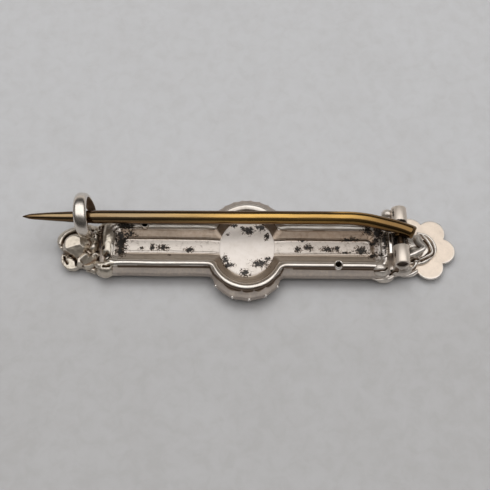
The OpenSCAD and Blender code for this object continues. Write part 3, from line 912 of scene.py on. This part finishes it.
def brooch_space():
    """Object coordinates in millimetres from the medallion's middle"""
    effect = Effect("Brooch space", [], ["Vector"])
    where = effect.add("TexCoord")["Object"]
    inputs = {"Vector": where, "Location": (-MIDDLE, 0, 0), "Scale": (1 / MM,) * 3}
    effect.give(effect.add("Mapping", inputs)[0])


def clouds():
    """Soft patches of tarnish"""
    effect = Effect("Clouds", ["Vector", "Size", "Cover", "Softness"], ["Mask"])
    where, size, cover, softness = effect.given
    pattern = effect.noise(where, effect.math("DIVIDE", 1.0, size), 7.0, 0.62, 0.5)
    middle = effect.minus(1.0, cover)
    effect.give(effect.ramp(pattern, effect.minus(middle, softness), effect.plus(middle, softness)))


def scratches():
    """Fine marks along the bar and pits in the casting, as a height"""
    effect = Effect("Scratches", ["Vector", "Stretch", "Pits"], ["Height"])
    where, stretch, pits = effect.given
    lines = effect.noise(effect.scaled(where, stretch), 3.0, 5.0)
    spots = effect.add("TexVoronoi", {"Vector": where, "Scale": 2.6, "Randomness": 1.0})["Distance"]
    pit = effect.minus(effect.ramp(spots, 0.0, 0.16), 1.0)
    effect.give(effect.plus(lines, effect.times(pit, pits)))


def ragged_patches(name, rows):
    """Ragged patches at the places of a table: black stains, and at the hinge painted shade as well"""
    effect = Effect(name, ["Vector", "Raggedness"], ["Mask"])
    where, raggedness = effect.given
    total = -0.5
    for x, y, half_x, half_y, strength in rows:
        inputs = {"Vector": where, "Location": (x, y, 0), "Scale": (half_x, half_y, 1e6)}
        spot = effect.add("Mapping", inputs, vector_type="TEXTURE")[0]
        near = effect.times_plus(effect.size(spot), -0.4, 0.28 + 0.5 * strength, clamp=False)
        total = effect.most(total, near)
    speckled = effect.times(effect.noise(where, 5.5, 3.0), 1.3)
    both = effect.plus(effect.noise(where, 2.0, 6.0, 0.7, 0.6), speckled)
    shift = effect.times(effect.minus(both, 1.15), raggedness)
    effect.give(effect.ramp(effect.plus(total, shift), 0.32, 0.58))


def recess_patch():
    """Where the inside of the recess, its flat floor and the skirt are"""
    effect = Effect("Recess patch", ["Vector"], ["Inside", "Floor", "Skirt"])
    where = effect.given[0]
    x, y, z = effect.axes(where)
    shift = effect.times(effect.minus(effect.noise(where, 1.8, 6.0), 0.5), 0.16)
    along = effect.math("ABSOLUTE", x)
    across = effect.math("ABSOLUTE", effect.minus(y, 0.09))
    far = effect.size(effect.scaled(where, (1 / 3.88, 1 / 4.5, 0)))
    high = effect.ramp(z, 1.5, 1.6)
    bar = effect.times(effect.ramp(across, 2.0, 1.9), effect.ramp(along, 14.3, 14.0))
    inside = effect.most(bar, effect.ramp(far, 1.02, 0.98))
    skirt = effect.times(effect.minus(1.0, inside), effect.ramp(z, 2.2, 2.05))
    wide = effect.ramp(effect.plus(across, shift), 0.84, 0.74)
    long = effect.ramp(effect.plus(along, shift), 13.8, 13.5)
    level = effect.times(high, effect.ramp(z, 2.0, 1.94))
    effect.give(effect.times(inside, high), effect.times(effect.times(wide, long), level), skirt)


class Paint(Nodes):
    """Material of the brooch, with its place on the brooch in millimetres"""

    def __init__(self, name):
        self.material = bpy.data.materials.new(name)
        self.material.use_nodes = True
        super().__init__(self.material.node_tree)
        self.shader = self.tree.nodes["Principled BSDF"].inputs
        self.where = self.use("Brooch space")[0]

    def clouds(self, size, cover, softness, where=None):
        where = self.where if where is None else where
        return self.use("Clouds", Vector=where, Size=size, Cover=cover, Softness=softness)[0]

    def grime(self):
        """How deep each point lies in a crevice, with the painted shade under and inside the bar's rim"""
        return self.add("Attribute", attribute_name="crevice")["Fac"]

    def relief(self, height, strength, distance=0.03):
        inputs = {"Height": height, "Strength": strength, "Distance": distance * MM}
        self.feed(self.shader["Normal"], self.add("Bump", inputs)[0])

    def scratched(self, stretch, pits, strength, distance=0.03):
        height = self.use("Scratches", Vector=self.where, Stretch=stretch, Pits=pits)[0]
        self.relief(height, strength, distance)

    def finished(self, base, rough, metal=1.0, specular=0.5):
        """The material, with its shader fed"""
        self.feed(self.shader["Base Color"], base)
        self.feed(self.shader["Roughness"], rough)
        self.feed(self.shader["Metallic"], metal)
        self.feed(self.shader["Specular IOR Level"], specular)
        return self.material


def recess_finish(paint, finish, fine, base, rough):
    """Walls of the recess, browned by tarnish and by painted shade on the far side, its white floor, and the
    grey skirt: their colour, roughness and metal
    """
    inside, floor, skirt = paint.use("Recess patch", Vector=paint.where)
    x, y, _ = paint.axes(paint.where)
    # Painted shade: the walls go browner towards the far side, and a little towards the right
    shaded = paint.plus(paint.ramp(y, -1.2, 0.2, 0.0, 0.6), paint.ramp(x, 2.0, 8.0, 0.0, 0.14))
    tarnish_and_painted_shade = paint.times_plus(fine, 0.25, shaded)
    base = paint.blend(inside, base, paint.blend(tarnish_and_painted_shade, finish.warm_silver, finish.brown))
    rough = paint.ramp(inside, 0.0, 1.0, rough, 0.3)
    dirt = paint.plus(paint.times(paint.clouds(0.4, 0.36, 0.14), 0.55), paint.ramp(x, 4.0, 8.0, 0.1, 0.34))
    base = paint.blend(floor, base, paint.blend(dirt, finish.frosted, finish.brown))
    base = paint.blend(skirt, base, paint.blend(fine, finish.skirt, finish.warm_silver))
    matt = paint.most(floor, skirt)
    return base, paint.ramp(matt, 0.0, 1.0, rough, 0.5), paint.ramp(matt, 0.0, 1.0, 1.0, 0.8)


def silver(
    name, finish, rough=0.15, cover=0.45, stain_and_shade_group=None, recess=False, clean="silver", pits=0.35, bump=0.2,
    stretch=(0.12, 1.6, 1.6), metal_share=1.0, grime=(0.012, 0.07),
):
    """Silver with warm tarnish, brown in its crevices, and black where the stain group says so. The brown and
    black also paint shade: under and inside the bar's rim, and where a group holds painted shade
    """
    paint = Paint(name)
    fine = paint.clouds(0.45, 0.42, 0.25)
    tone = paint.times_plus(fine, 0.2, paint.times(paint.clouds(2.6, cover, 0.22), 0.5))
    base = paint.blend(tone, getattr(finish, clean), finish.warm_silver)
    rough = paint.ramp(tone, 0.0, 1.0, rough, rough + 0.14)
    metal = 1.0
    if recess:
        base, rough, metal = recess_finish(paint, finish, fine, base, rough)
    deep = paint.grime()
    base = paint.blend(paint.times(paint.ramp(deep, -grime[0], -grime[1]), 0.3), base, finish.silver)
    base = paint.blend(paint.times(paint.ramp(deep, *grime), 0.9), base, finish.brown)
    base = paint.blend(paint.ramp(deep, 0.07, 0.13), base, finish.black)
    if stain_and_shade_group:
        ragged = 1.0 if stain_and_shade_group == "Recess stains" else 0.45
        dark = paint.use(stain_and_shade_group, Vector=paint.where, Raggedness=ragged)[0]
        base = paint.blend(paint.ramp(dark, 0.0, 0.5), base, finish.brown)
        base = paint.blend(paint.ramp(dark, 0.35, 0.9), base, finish.black)
        rough = paint.ramp(dark, 0.0, 1.0, rough, 0.5)
        metal = paint.times(metal, paint.ramp(dark, 0.4, 1.0, metal_share, 0.3))
    paint.scratched(stretch, pits, bump)
    return paint.finished(base, rough, metal)


def cast_silver(name, finish, rough, cover, pits, bump, stretch, clean="silver"):
    """Silver of a casting, brown in the slightest crevice, with the end stains and the painted shadow among
    them
    """
    return silver(
        name, finish, rough=rough, cover=cover, stain_and_shade_group="End stains", pits=pits, bump=bump,
        stretch=(stretch,) * 3, grime=(0.001, 0.02), clean=clean,
    )


def vent_black(finish):
    """Painted shade: near black that stands for the dark inside of the hollow bar, seen through a vent"""
    paint = Paint("vent_black")
    base = paint.blend(paint.times(paint.clouds(0.3, 0.4, 0.3), 0.1), finish.black, finish.brown)
    return paint.finished(base, 0.9, metal=0, specular=0)


def plate_silver(finish):
    """Matt white silver of the flower's back, with light edges"""
    paint = Paint("petal_plate_silver")
    mottle = paint.clouds(0.8, 0.4, 0.35)
    tone = paint.times_plus(mottle, 0.5, paint.times(paint.clouds(0.2, 0.3, 0.2), 0.4), clamp=False)
    base = paint.blend(tone, finish.plate, finish.warm_silver)
    base = paint.blend(paint.ramp(paint.grime(), -0.002, -0.02, 0.0, 0.8), base, finish.silver)
    paint.scratched((1.2, 1.2, 1.2), 0.3, 0.3)
    return paint.finished(base, paint.ramp(mottle, 0.0, 1.0, 0.4, 0.5))


def pin_brass(finish):
    """Drawn brass wire, golden towards the hinge and paler towards the point, with brown streaks along it,
    and painted shade on its underside, its far side and its eye
    """
    paint = Paint("pin_brass")
    x, y, z = paint.axes(paint.where)
    clean = paint.blend(paint.ramp(x, 2.0, -14.0), finish.brass, finish.pale_brass)
    streaks = paint.clouds(0.8, 0.42, 0.2, paint.scaled(paint.where, (0.12, 1.9, 1.9)))
    tone = paint.times_plus(paint.clouds(0.22, 0.28, 0.1), 0.5, paint.times(streaks, 0.75))
    base = paint.blend(tone, clean, finish.dull_brass)
    # Painted shade: the wire's underside goes dark brown
    underside_shade = paint.times(paint.ramp(z, 4.78, 4.45), 0.85)
    base = paint.blend(underside_shade, base, finish.brown_brass)
    # Painted shade: the wire's far side goes dark brown before the bend
    across = paint.times_plus(x, -PIN_SLOPE, y, clamp=False)
    far_side_shade = paint.times(paint.ramp(across, 2.52, 2.72), paint.ramp(x, 10.5, 8.5, 0.0, 0.9))
    base = paint.blend(far_side_shade, base, finish.brown_brass)
    base = paint.blend(paint.times(paint.ramp(x, 9.0, 15.5), 0.95), base, finish.dull_brass)
    # Painted shadow: the eye under the wire by the hinge goes black
    pin_eye_shadow = paint.times(paint.ramp(z, 4.15, 3.8), paint.ramp(x, 15.6, 16.0))
    base = paint.blend(pin_eye_shadow, base, finish.black)
    paint.scratched((0.08, 3.0, 3.0), 0.2, 0.25, 0.02)
    return paint.finished(base, paint.ramp(tone, 0.0, 1.0, 0.13, 0.3))


def rivet_brass(finish):
    """Brown, dull rivet, darkened nearly black as painted shadow under the pin"""
    paint = Paint("rivet_brass")
    mottle = paint.clouds(0.3, 0.45, 0.3)
    base = paint.blend(mottle, finish.rivet, finish.black)
    return paint.finished(base, paint.ramp(mottle, 0.0, 1.0, 0.4, 0.6))


def pale_table(finish):
    """Pale table with a faint mottle, and painted shade that darkens it towards the front"""
    paint = Paint("pale_table")
    front = paint.ramp(paint.axes(paint.where)[1], 8.0, -13.0)
    mottle = paint.times(paint.clouds(9.0, 0.5, 0.4), 0.3)
    mottle = paint.times_plus(paint.clouds(1.6, 0.4, 0.3), 0.5, mottle, clamp=False)
    front_shade_and_mottle = paint.times_plus(front, 0.55, mottle)
    shade = [value * share for value, share in zip(finish.table, TABLE_SHADE)]
    paint.relief(paint.noise(paint.where, 1.5, 6.0, 0.5), 0.12, 0.05)
    return paint.finished(paint.blend(front_shade_and_mottle, finish.table, shade), 0.8, metal=0, specular=0.2)


def build_shared_effects():
    """Node groups that the materials share"""
    brooch_space()
    clouds()
    scratches()
    recess_patch()
    ragged_patches("Recess stains", RECESS_STAINS)
    ragged_patches("End stains", END_STAINS_AND_SHADOW)
    ragged_patches("Tube stains", TUBE_PAINTED_SHADE)


class Piece:
    """What the operators share: each builds from the settings by name"""

    def execute(self, context):
        self.build(*[values_of(getattr(context.scene, name)) for name, _ in GROUPS])
        return {"FINISHED"}


class BROOCH_OT_bar(Piece, bpy.types.Operator):
    """Bar and medallion with the rolled rim, the recess and the vents"""

    bl_idname = "brooch.bar"
    bl_label = "Bar and Medallion"

    def build(self, body, ends, pin, finish):
        line = RimLine(body)
        bm = skin([line.ring(*row) for row in flowing(BAR_SECTION, 3)])
        for v in bm.verts:
            sway = noise.noise_vector(Vector((v.co.x, v.co.y, 0)) / SWAY_LENGTH) * SWAY
            v.co.x += sway.x
            v.co.y += sway.y
            if v.co.z > 2:
                v.co.z += sway.z * 0.5
        drills = bmesh.new()
        for x, y in VENTS:
            rod(drills, Matrix.Translation((x, y, 2)), body.vent_radius, 2, segments=32)
        bm = cut(bm, drills)
        # Faces of the vents get the near-black painted shade
        for face in bm.faces:
            middle = face.calc_center_median()
            near = min((middle.xy - Vector(v)).length for v in VENTS)
            face.material_index = int(0.9 < middle.z < 2.5 and near < body.vent_radius + 0.01)
        pressed(bm, [(0.5, 0.4, [(-15.35, -0.75), (-15.35, -1.5)])], above=1.7)
        # Painted shade under and inside the rim, added to the crevice layer that darkens the silver
        layer = crevices(bm)
        for v in bm.verts:
            v[layer] = max(v[layer], RIM_PAINTED_SHADE * line.under_rim(v.co))
        metal = silver(
            "bar_silver", finish, rough=0.28, cover=0.55, stain_and_shade_group="Recess stains", recess=True, pits=0.3
        )
        place("bar_and_medallion", bm, [metal, vent_black(finish)])


class BROOCH_OT_disc(Piece, bpy.types.Operator):
    """Raised frosted disc on the medallion's floor"""

    bl_idname = "brooch.disc"
    bl_label = "Disc"

    def build(self, body, ends, pin, finish):
        outline = [Vector((body.disc_along * c, body.disc_across * s, 0)) for c, s in circle(120)]
        bm = skin(shrinking(outline, Vector(), DISC_SECTION, 3))
        metal = silver(
            "disc_silver", finish, rough=0.6, cover=0.42, stain_and_shade_group="Recess stains", clean="disc", pits=0.8,
            bump=0.5, stretch=(1.2, 1.2, 1.2), metal_share=0.08,
        )
        place("medallion_disc", bm, [metal])


class BROOCH_OT_collars(Piece, bpy.types.Operator):
    """Raised collars round the vents"""

    bl_idname = "brooch.collars"
    bl_label = "Vent Collars"

    def build(self, body, ends, pin, finish):
        inner, outer = body.vent_radius, body.collar_radius
        profile = [
            (inner - 0.01, -0.3), (outer, -0.9), (outer, -0.14), (outer - 0.04, -0.06), (outer - 0.1, -0.01),
            ((inner + outer) / 2, 0.02), (inner + 0.05, 0), (inner - 0.01, -0.06),
        ]
        bm = bmesh.new()
        for x, y in VENTS:
            turned(bm, profile, (x, y, COLLAR_TOP), (0, 0, 1), steps=40)
        place("vent_collars", bm, [silver("collar_silver", finish, cover=0.3)])


class BROOCH_OT_border_beads(Piece, bpy.types.Operator):
    """Small beads where the scallops of the border meet"""

    bl_idname = "brooch.border_beads"
    bl_label = "Border Beads"

    def build(self, body, ends, pin, finish):
        line = RimLine(body)
        out = line.skirt - 0.08
        bm = bmesh.new()
        for side, cusps in CUSPS.items():
            for along in cusps[1:-1]:
                angle = line.angle_at(along, out)
                p = line.edge(angle, out)
                where = Matrix.Translation((math.copysign(p.x, along), side * p.y, BEAD_HEIGHT))
                bmesh.ops.create_icosphere(
                    bm, subdivisions=3, radius=body.bead_radius * BEAD_SHARE[side], matrix=where
                )
        place("border_beads", bm, [silver("bead_silver", finish, cover=0.3)])


class BROOCH_OT_horseshoe(Piece, bpy.types.Operator):
    """Raised horseshoe with nail dents on the medallion's face"""

    bl_idname = "brooch.horseshoe"
    bl_label = "Horseshoe"

    def build(self, body, ends, pin, finish):
        outer = body.shoe_radius
        inner = outer - body.shoe_width
        open_half = math.radians(32)
        nails, first_nail, nail_step = 7, math.radians(25), math.radians(41)
        start = Matrix.Rotation(math.pi / 2 + open_half, 4, "Z")
        edge, top = 0.12, 0.76
        profile = [
            (inner, top), (inner, edge), (inner + edge, 0), (outer - edge, 0), (outer, edge), (outer, top),
        ]
        bm = bmesh.new()
        edges = ring_of(bm, [start @ Vector((r, 0, z)) for r, z in profile])[1]
        face = bmesh.ops.contextual_create(bm, geom=edges)["faces"]
        bmesh.ops.spin(
            bm, geom=face, cent=(0, 0, 0), axis=(0, 0, 1), angle=math.tau - 2 * open_half, steps=72
        )
        punches = bmesh.new()
        nail = Matrix.Translation(((outer + inner) / 2, 0, 0.05))
        for i in range(nails):
            where = start @ Matrix.Rotation(first_nail + nail_step * i, 4, "Z") @ nail
            rod(punches, where, 0.26, 0.4, segments=16, end_radius=0.16)
        place("horseshoe", cut(bm, punches), [silver("horseshoe_silver", finish, cover=0.4)])


class BROOCH_OT_bud(Piece, bpy.types.Operator):
    """Bud at the left end, with the bulbs that close the rims there"""

    bl_idname = "brooch.bud"
    bl_label = "Bud"

    def build(self, body, ends, pin, finish):
        outline = [Vector((x, y, 0)) for x, y in BUD_OUTLINE]
        bm = skin(shrinking(outline, BUD_MIDDLE, BUD_SECTION, 2))
        bm = cast(bm, BUD_LUMPS, BUD_ROPES, 3)
        filed(bm, BUD_FLATS)
        pressed(bm, BUD_GROOVES)
        relaxed(bm)
        uneven(bm, 0.03, 0.8, above=0.25)
        cut_off(bm, 0.002, -1)
        close_cuts(bm)
        metal = cast_silver("bud_silver", finish, 0.3, 0.7, 0.9, 0.4, 0.7, clean="olive_silver")
        place("bud", bm, [metal], sharp=60)


class BROOCH_OT_flower(Piece, bpy.types.Operator):
    """Flat flower plate with domed petals and a bead on its face"""

    bl_idname = "brooch.flower"
    bl_label = "Flower"

    def build(self, body, ends, pin, finish):
        middle = Vector((ends.flower_along, ends.flower_across, 0))
        ring, radius = ends.petal_ring, ends.petal_radius
        sixth = math.pi / 3

        def outline(inset, high):
            points = []
            for i in range(240):
                angle = math.tau * i / 240
                off = (angle - ends.flower_turn + sixth / 2) % sixth - sixth / 2
                far = ring * math.cos(off) + math.sqrt(radius ** 2 - (ring * math.sin(off)) ** 2) - inset
                points.append(middle + Vector((far * math.cos(angle), far * math.sin(angle), high)))
            return points

        bm = skin([outline(inset, high) for inset, high in flowing(PLATE_SECTION, 2)])
        place("petal_plate", bm, [plate_silver(finish)], sharp=50)
        bm = bmesh.new()
        dome = Matrix.Translation((ring, 0, 0.62)) @ Matrix.Diagonal((radius - 0.14, radius - 0.2, 0.5, 1))
        domes = [Matrix.Rotation(ends.flower_turn + i * sixth, 4, "Z") @ dome for i in range(6)]
        bead = Matrix.Translation((0, 0, 0.55)) @ Matrix.Scale(0.9, 4)
        for where in domes + [bead]:
            bmesh.ops.create_uvsphere(
                bm, u_segments=48, v_segments=24, radius=1, matrix=Matrix.Translation(middle) @ where
            )
        cut_off(bm, 0.003, -1)
        cut_off(bm, 0.7, 1)
        close_cuts(bm)
        place("petals", bm, [silver("petal_silver", finish, cover=0.4)])


class BROOCH_OT_pointed_end(Piece, bpy.types.Operator):
    """Pointed end behind the flower, with its nested ridges"""

    bl_idname = "brooch.pointed_end"
    bl_label = "Pointed End"

    def build(self, body, ends, pin, finish):
        middle = Vector((18.95, 0.35))
        start, shoulder, tip, half, steps = 15.2, 16.1, 21.2, 3.0, 72
        sweep, rounding, nose, nose_half = 112, 1.9, 0.4, 30

        def outline(inset):
            side = half - inset
            points = [(start, -side), (start + 0.45, -side), (shoulder, -side)]
            for i in range(steps + 1):
                degrees = sweep * (2 * i / steps - 1)
                radius = rounding + nose * max(0, 1 - abs(degrees) / nose_half) - inset
                angle = math.radians(degrees)
                points.append((middle.x + radius * math.cos(angle), middle.y + radius * math.sin(angle)))
            return points + [(shoulder, side), (start + 0.45, side), (start, side)]

        bm = skin([
            [Vector((x, y, back + (front - back) * (x - start) / (tip - start))) for x, y in outline(inset)]
            for inset, back, front in flowing(POINT_SECTION, 2)
        ])
        bm = cast(bm, POINT_LUMPS, POINT_ROPES, 3)
        pressed(bm, POINT_GROOVES, above=0.9)
        uneven(bm, 0.02, 0.9)
        place("pointed_end", bm, [cast_silver("point_silver", finish, 0.28, 0.6, 0.6, 0.35, 0.7)], sharp=60)


class BROOCH_OT_hinge(Piece, bpy.types.Operator):
    """Hinge tubes, their solder, the plate and the bulbs that close the rims there"""

    bl_idname = "brooch.hinge"
    bl_label = "Hinge"

    def build(self, body, ends, pin, finish):
        outer, mouth, bore = ends.tube_radius, ends.mouth_radius, pin.bore_radius
        edge, deep, lip = 0.1, 0.5, 0.02
        axle = Vector((HINGE_REACH, 0, HINGE.z))
        bm = bmesh.new()
        for low, high, open_low in TUBES:
            inner = [(bore, low), (bore, high - deep), (mouth, high - deep), (mouth, high - lip)]
            if open_low:
                inner = [(mouth, low + lip), (mouth, low + deep), (bore, low + deep), (bore, high)]
            outside = [
                (outer - edge, high), (outer - 0.03, high - 0.03), (outer, high - edge),
                (outer, low + edge), (outer - 0.03, low + 0.03), (outer - edge, low),
            ]
            turned(bm, inner + outside, axle, (0, 1, 0))
        tidy(bm)
        for face in bm.faces:
            face.material_index = int((face.calc_center_median() - axle).xz.length < mouth + 0.01)
        # The tube painted shade darkens each tube's left side and its end by the pin's eye
        metal = silver(
            "tube_silver", finish, rough=0.42, cover=0.45, clean="plate", stain_and_shade_group="Tube stains",
            metal_share=0.8, bump=0.4, stretch=(3, 0.3, 3),
        )
        inside = silver("tube_inside_silver", finish, rough=0.45, cover=0.1, clean="brown", pits=0.5)
        place("hinge_tubes", bm, [metal, inside])
        bm = bmesh.new()
        for low, high in HINGE_BLOCKS:
            block(bm, low, high, edge)
        bm = cast(bm, HINGE_LUMPS, HINGE_ROPES, 4)
        pressed(bm, HINGE_GROOVES, above=0.9)
        bm = cut(bm, axle_rod(axle + Vector((0, 0.5, 0)), outer - 0.06, 9))
        uneven(bm, 0.025, 0.7, above=0.8)
        metal = cast_silver("hinge_foot_silver", finish, 0.36, 0.75, 0.8, 0.4, 0.8)
        place("hinge_foot", bm, [metal], sharp=50)
        bm = bmesh.new()
        block(bm, *HINGE_PLATE, 0.07)
        place("hinge_plate", bm, [silver("hinge_plate_silver", finish, cover=0.3)])


class BROOCH_OT_catch(Piece, bpy.types.Operator):
    """Catch: half-round strip bent into an open loop round the pin"""

    bl_idname = "brooch.catch"
    bl_label = "Catch"

    def build(self, body, ends, pin, finish):
        rings = []
        for degrees, width, thick, shift in flowing([(*row, 0) for row in CATCH_PATH], 6):
            angle = math.radians(degrees)
            out = Vector((0, math.cos(angle), math.sin(angle)))
            middle = CATCH_MIDDLE + ends.catch_radius * out + Vector((shift, 0, 0))
            ring = []
            for along, bulge in circle(28):
                bulge *= CATCH_OUTSIDE if bulge > 0 else CATCH_INSIDE
                wide = math.copysign(abs(along) ** CATCH_BOXINESS, along)
                ring.append(middle + Vector((width / 2 * wide, 0, 0)) + out * thick * bulge)
            rings.append(ring)
        bm = skin(rings)
        tidy(bm)
        # Faces on the loop's inside get dark brown silver as painted shade
        for face in bm.faces:
            inward = CATCH_MIDDLE - face.calc_center_median()
            inward.x = 0
            face.normal_update()
            face.material_index = int(face.normal.dot(inward) > 0.25 * inward.length)
        metal = silver(
            "catch_silver", finish, rough=0.16, cover=0.9, pits=0.2, bump=0.15, stretch=(1.5, 0.4, 0.4)
        )
        inside = silver("catch_inside_silver", finish, rough=0.4, cover=0.12, clean="brown", pits=0.5)
        place("catch", bm, [metal, inside], sharp=60)


class BROOCH_OT_pin(Piece, bpy.types.Operator):
    """Brass pin with its point, bend, eye and cut root"""

    bl_idname = "brooch.pin"
    bl_label = "Pin"

    def stations(self, pin):
        """Middle, turn and radius of the wire at each ring, from the point to the root"""
        wire, start, bend = pin.wire_radius, pin.bend_start, pin.bend_radius
        taper = [(-pin.reach, 0.03, 0), (-pin.reach + 0.12, 0.09, 0), *PIN_TAPER, (TAPER_END, wire, 1)]
        made = [(Vector((x, pin.across, pin.height)), 0, r) for x, r in flowing(taper, 5)]
        for i in range(1, 41):
            made.append((Vector((TAPER_END + i * (start - TAPER_END) / 40, pin.across, pin.height)), 0, wire))
        for i in range(1, 17):
            angle = pin.bend_turn * i / 16
            along, across = start + bend * math.sin(angle), pin.across - bend * (1 - math.cos(angle))
            made.append((Vector((along, across, pin.height)), angle, wire))
        middle = made[-1][0]
        steps = 24
        step = (pin.tail - middle.x) / steps
        for i in range(1, steps + 1):
            share = max(0, (middle.x - TAIL_BEND) / (pin.tail - TAIL_BEND))
            angle = pin.bend_turn + pin.tail_turn * share
            middle = middle + Vector((step, -math.tan(angle) * step, 0))
            made.append((middle, angle, wire))
        direction = Vector((math.cos(angle), -math.sin(angle), 0))
        return made[:-1] + [(middle - back * direction, angle, wire - inset) for back, inset in PIN_ROOT]

    def build(self, body, ends, pin, finish):
        rings = []
        for middle, angle, radius in self.stations(pin):
            side, up = Vector((math.sin(angle), math.cos(angle), 0)), Vector((0, 0, 1))
            rings.append([middle + radius * (c * side + s * up) for c, s in circle(40)])
        bm = skin(rings)
        for v in bm.verts:
            v.co.z += PIN_SWAY_UP * noise.noise(Vector((v.co.x / 4, 0, 3)))
            v.co.y += PIN_SWAY_ACROSS * noise.noise(Vector((v.co.x / 5, 7, 3)))
            v.co.y -= PIN_SLOPE * max(0, SLOPE_START - v.co.x)
        axle = Vector((HINGE_REACH, HINGE.y, HINGE.z))
        eye = axle_rod(axle, pin.eye_radius, 2 * pin.eye_half, segments=56)
        rounded(eye, [e for e in eye.edges if abs(e.calc_face_angle() - math.pi / 2) < 0.1], 0.08)
        bm = cut(cut(bm, eye, "UNION"), axle_rod(axle, pin.bore_radius, 6))
        place("brass_pin", bm, [pin_brass(finish)], 40, "pin", "pin")


class BROOCH_OT_rivet(Piece, bpy.types.Operator):
    """Finish of the rivet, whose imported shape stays"""

    bl_idname = "brooch.rivet"
    bl_label = "Hinge Rivet"

    def build(self, body, ends, pin, finish):
        rivet = frame["nodes"]["hinge_rivet"]
        rivet.data.materials.clear()
        rivet.data.materials.append(rivet_brass(finish))


class BROOCH_OT_stage(Piece, bpy.types.Operator):
    """Pale table, soft light and the camera"""

    bl_idname = "brooch.stage"
    bl_label = "Stage"

    def build(self, body, ends, pin, finish):
        bm = bmesh.new()
        bmesh.ops.create_grid(bm, x_segments=2, y_segments=2, size=TABLE_HALF)
        table = to_object(bm, "table")
        table.data.materials.append(pale_table(finish))

        for name, location, size, radiance in SOFTBOXES:
            self.add_light(name, location, size, radiance)
        tilt, distance, size, radiance = WINDOW
        tilt = math.radians(tilt)
        where = distance * Vector((0, math.sin(tilt), math.cos(tilt)))
        window = self.add_light("window", where, (size, size), radiance)
        window.rotation_euler.x = -tilt
        lit = bpy.data.collections.new("lit_by_window")
        lit.objects.link(table)
        lit.objects.link(bpy.data.objects["medallion_disc"])
        window.light_linking.receiver_collection = lit
        world = bpy.data.worlds.new("studio")
        world.use_nodes = True
        self.paint_world(world.node_tree)
        scene = bpy.context.scene
        scene.world = world
        scene.camera = self.add_camera()
        scene.view_settings.view_transform = "Standard"

    def add_light(self, name, location, size, radiance):
        """Soft rectangle of light that points straight down"""
        data = bpy.data.lights.new(name, "AREA")
        data.shape = "RECTANGLE"
        data.size, data.size_y = size
        data.energy = radiance * math.pi * size[0] * size[1]
        light = bpy.data.objects.new(name, data)
        light.location = location
        bpy.context.scene.collection.objects.link(light)
        return light

    def add_camera(self):
        """Camera of the photo"""
        data = bpy.data.cameras.new("camera")
        data.sensor_width = 36
        data.lens = LENS
        data.clip_start = 0.001
        data.clip_end = 10
        camera = bpy.data.objects.new("camera", data)
        bpy.context.scene.collection.objects.link(camera)
        yaw, pitch = math.radians(CAMERA_YAW), math.radians(CAMERA_PITCH)
        aim = TO_FRAME @ Vector(CAMERA_AIM)
        back = Vector((math.sin(yaw) * math.cos(pitch), -math.cos(yaw) * math.cos(pitch), math.sin(pitch)))
        camera.location = aim + back * CAMERA_DISTANCE
        camera.rotation_euler = (math.pi / 2 - pitch, 0, yaw)
        return camera

    def paint_world(self, tree):
        """Dim warm room, whose light changes with the tilt across the bar"""
        nodes = Nodes(tree)
        _, y, z = nodes.axes(nodes.add("TexCoord")["Generated"])
        tilt = nodes.times_plus(nodes.math("ARCTAN2", y, z), 1 / math.tau, 0.5, clamp=False)
        bands = tree.nodes.new("ShaderNodeValToRGB")
        nodes.feed(bands.inputs[0], tilt)
        stops = bands.color_ramp.elements
        while len(stops) < len(ROOM):
            stops.new(0.5)
        for stop, (degrees, level) in zip(stops, ROOM):
            stop.position = degrees / 360 + 0.5
            stop.color = [level * share for share in ROOM_TINT] + [1]
        nodes.feed(tree.nodes["Background"].inputs["Color"], bands.outputs[0])


class BROOCH_PT_panel(bpy.types.Panel):
    """Buttons for each piece, with the sizes and colours"""

    bl_idname = "BROOCH_PT_panel"
    bl_label = "Brooch"
    bl_space_type = "VIEW_3D"
    bl_region_type = "UI"
    bl_category = "Brooch"

    def draw(self, context):
        for operator in OPERATORS:
            self.layout.operator(operator.bl_idname)
        for name, kind in GROUPS:
            box = self.layout.box()
            for setting in kind.__annotations__:
                box.prop(getattr(context.scene, name), setting)


GROUPS = [
    ("brooch_body", BodySizes),
    ("brooch_ends", EndSizes),
    ("brooch_pin", PinSizes),
    ("brooch_finish", Finish),
]
OPERATORS = [
    BROOCH_OT_bar, BROOCH_OT_disc, BROOCH_OT_collars, BROOCH_OT_border_beads, BROOCH_OT_horseshoe,
    BROOCH_OT_bud, BROOCH_OT_flower, BROOCH_OT_pointed_end, BROOCH_OT_hinge, BROOCH_OT_catch, BROOCH_OT_pin,
    BROOCH_OT_rivet, BROOCH_OT_stage,
]


register_classes, unregister_classes = bpy.utils.register_classes_factory(
    [group for _, group in GROUPS] + OPERATORS + [BROOCH_PT_panel]
)


def register():
    register_classes()
    for name, group in GROUPS:
        setattr(bpy.types.Scene, name, bpy.props.PointerProperty(type=group))


def unregister():
    for name, _ in GROUPS:
        delattr(bpy.types.Scene, name)
    unregister_classes()


def main():
    noise.seed_set(WAVE_SEED)
    register()
    build_shared_effects()
    for operator in OPERATORS:
        getattr(bpy.ops.brooch, operator.bl_idname.split(".")[1])()


if __name__ == "__main__":
    main()
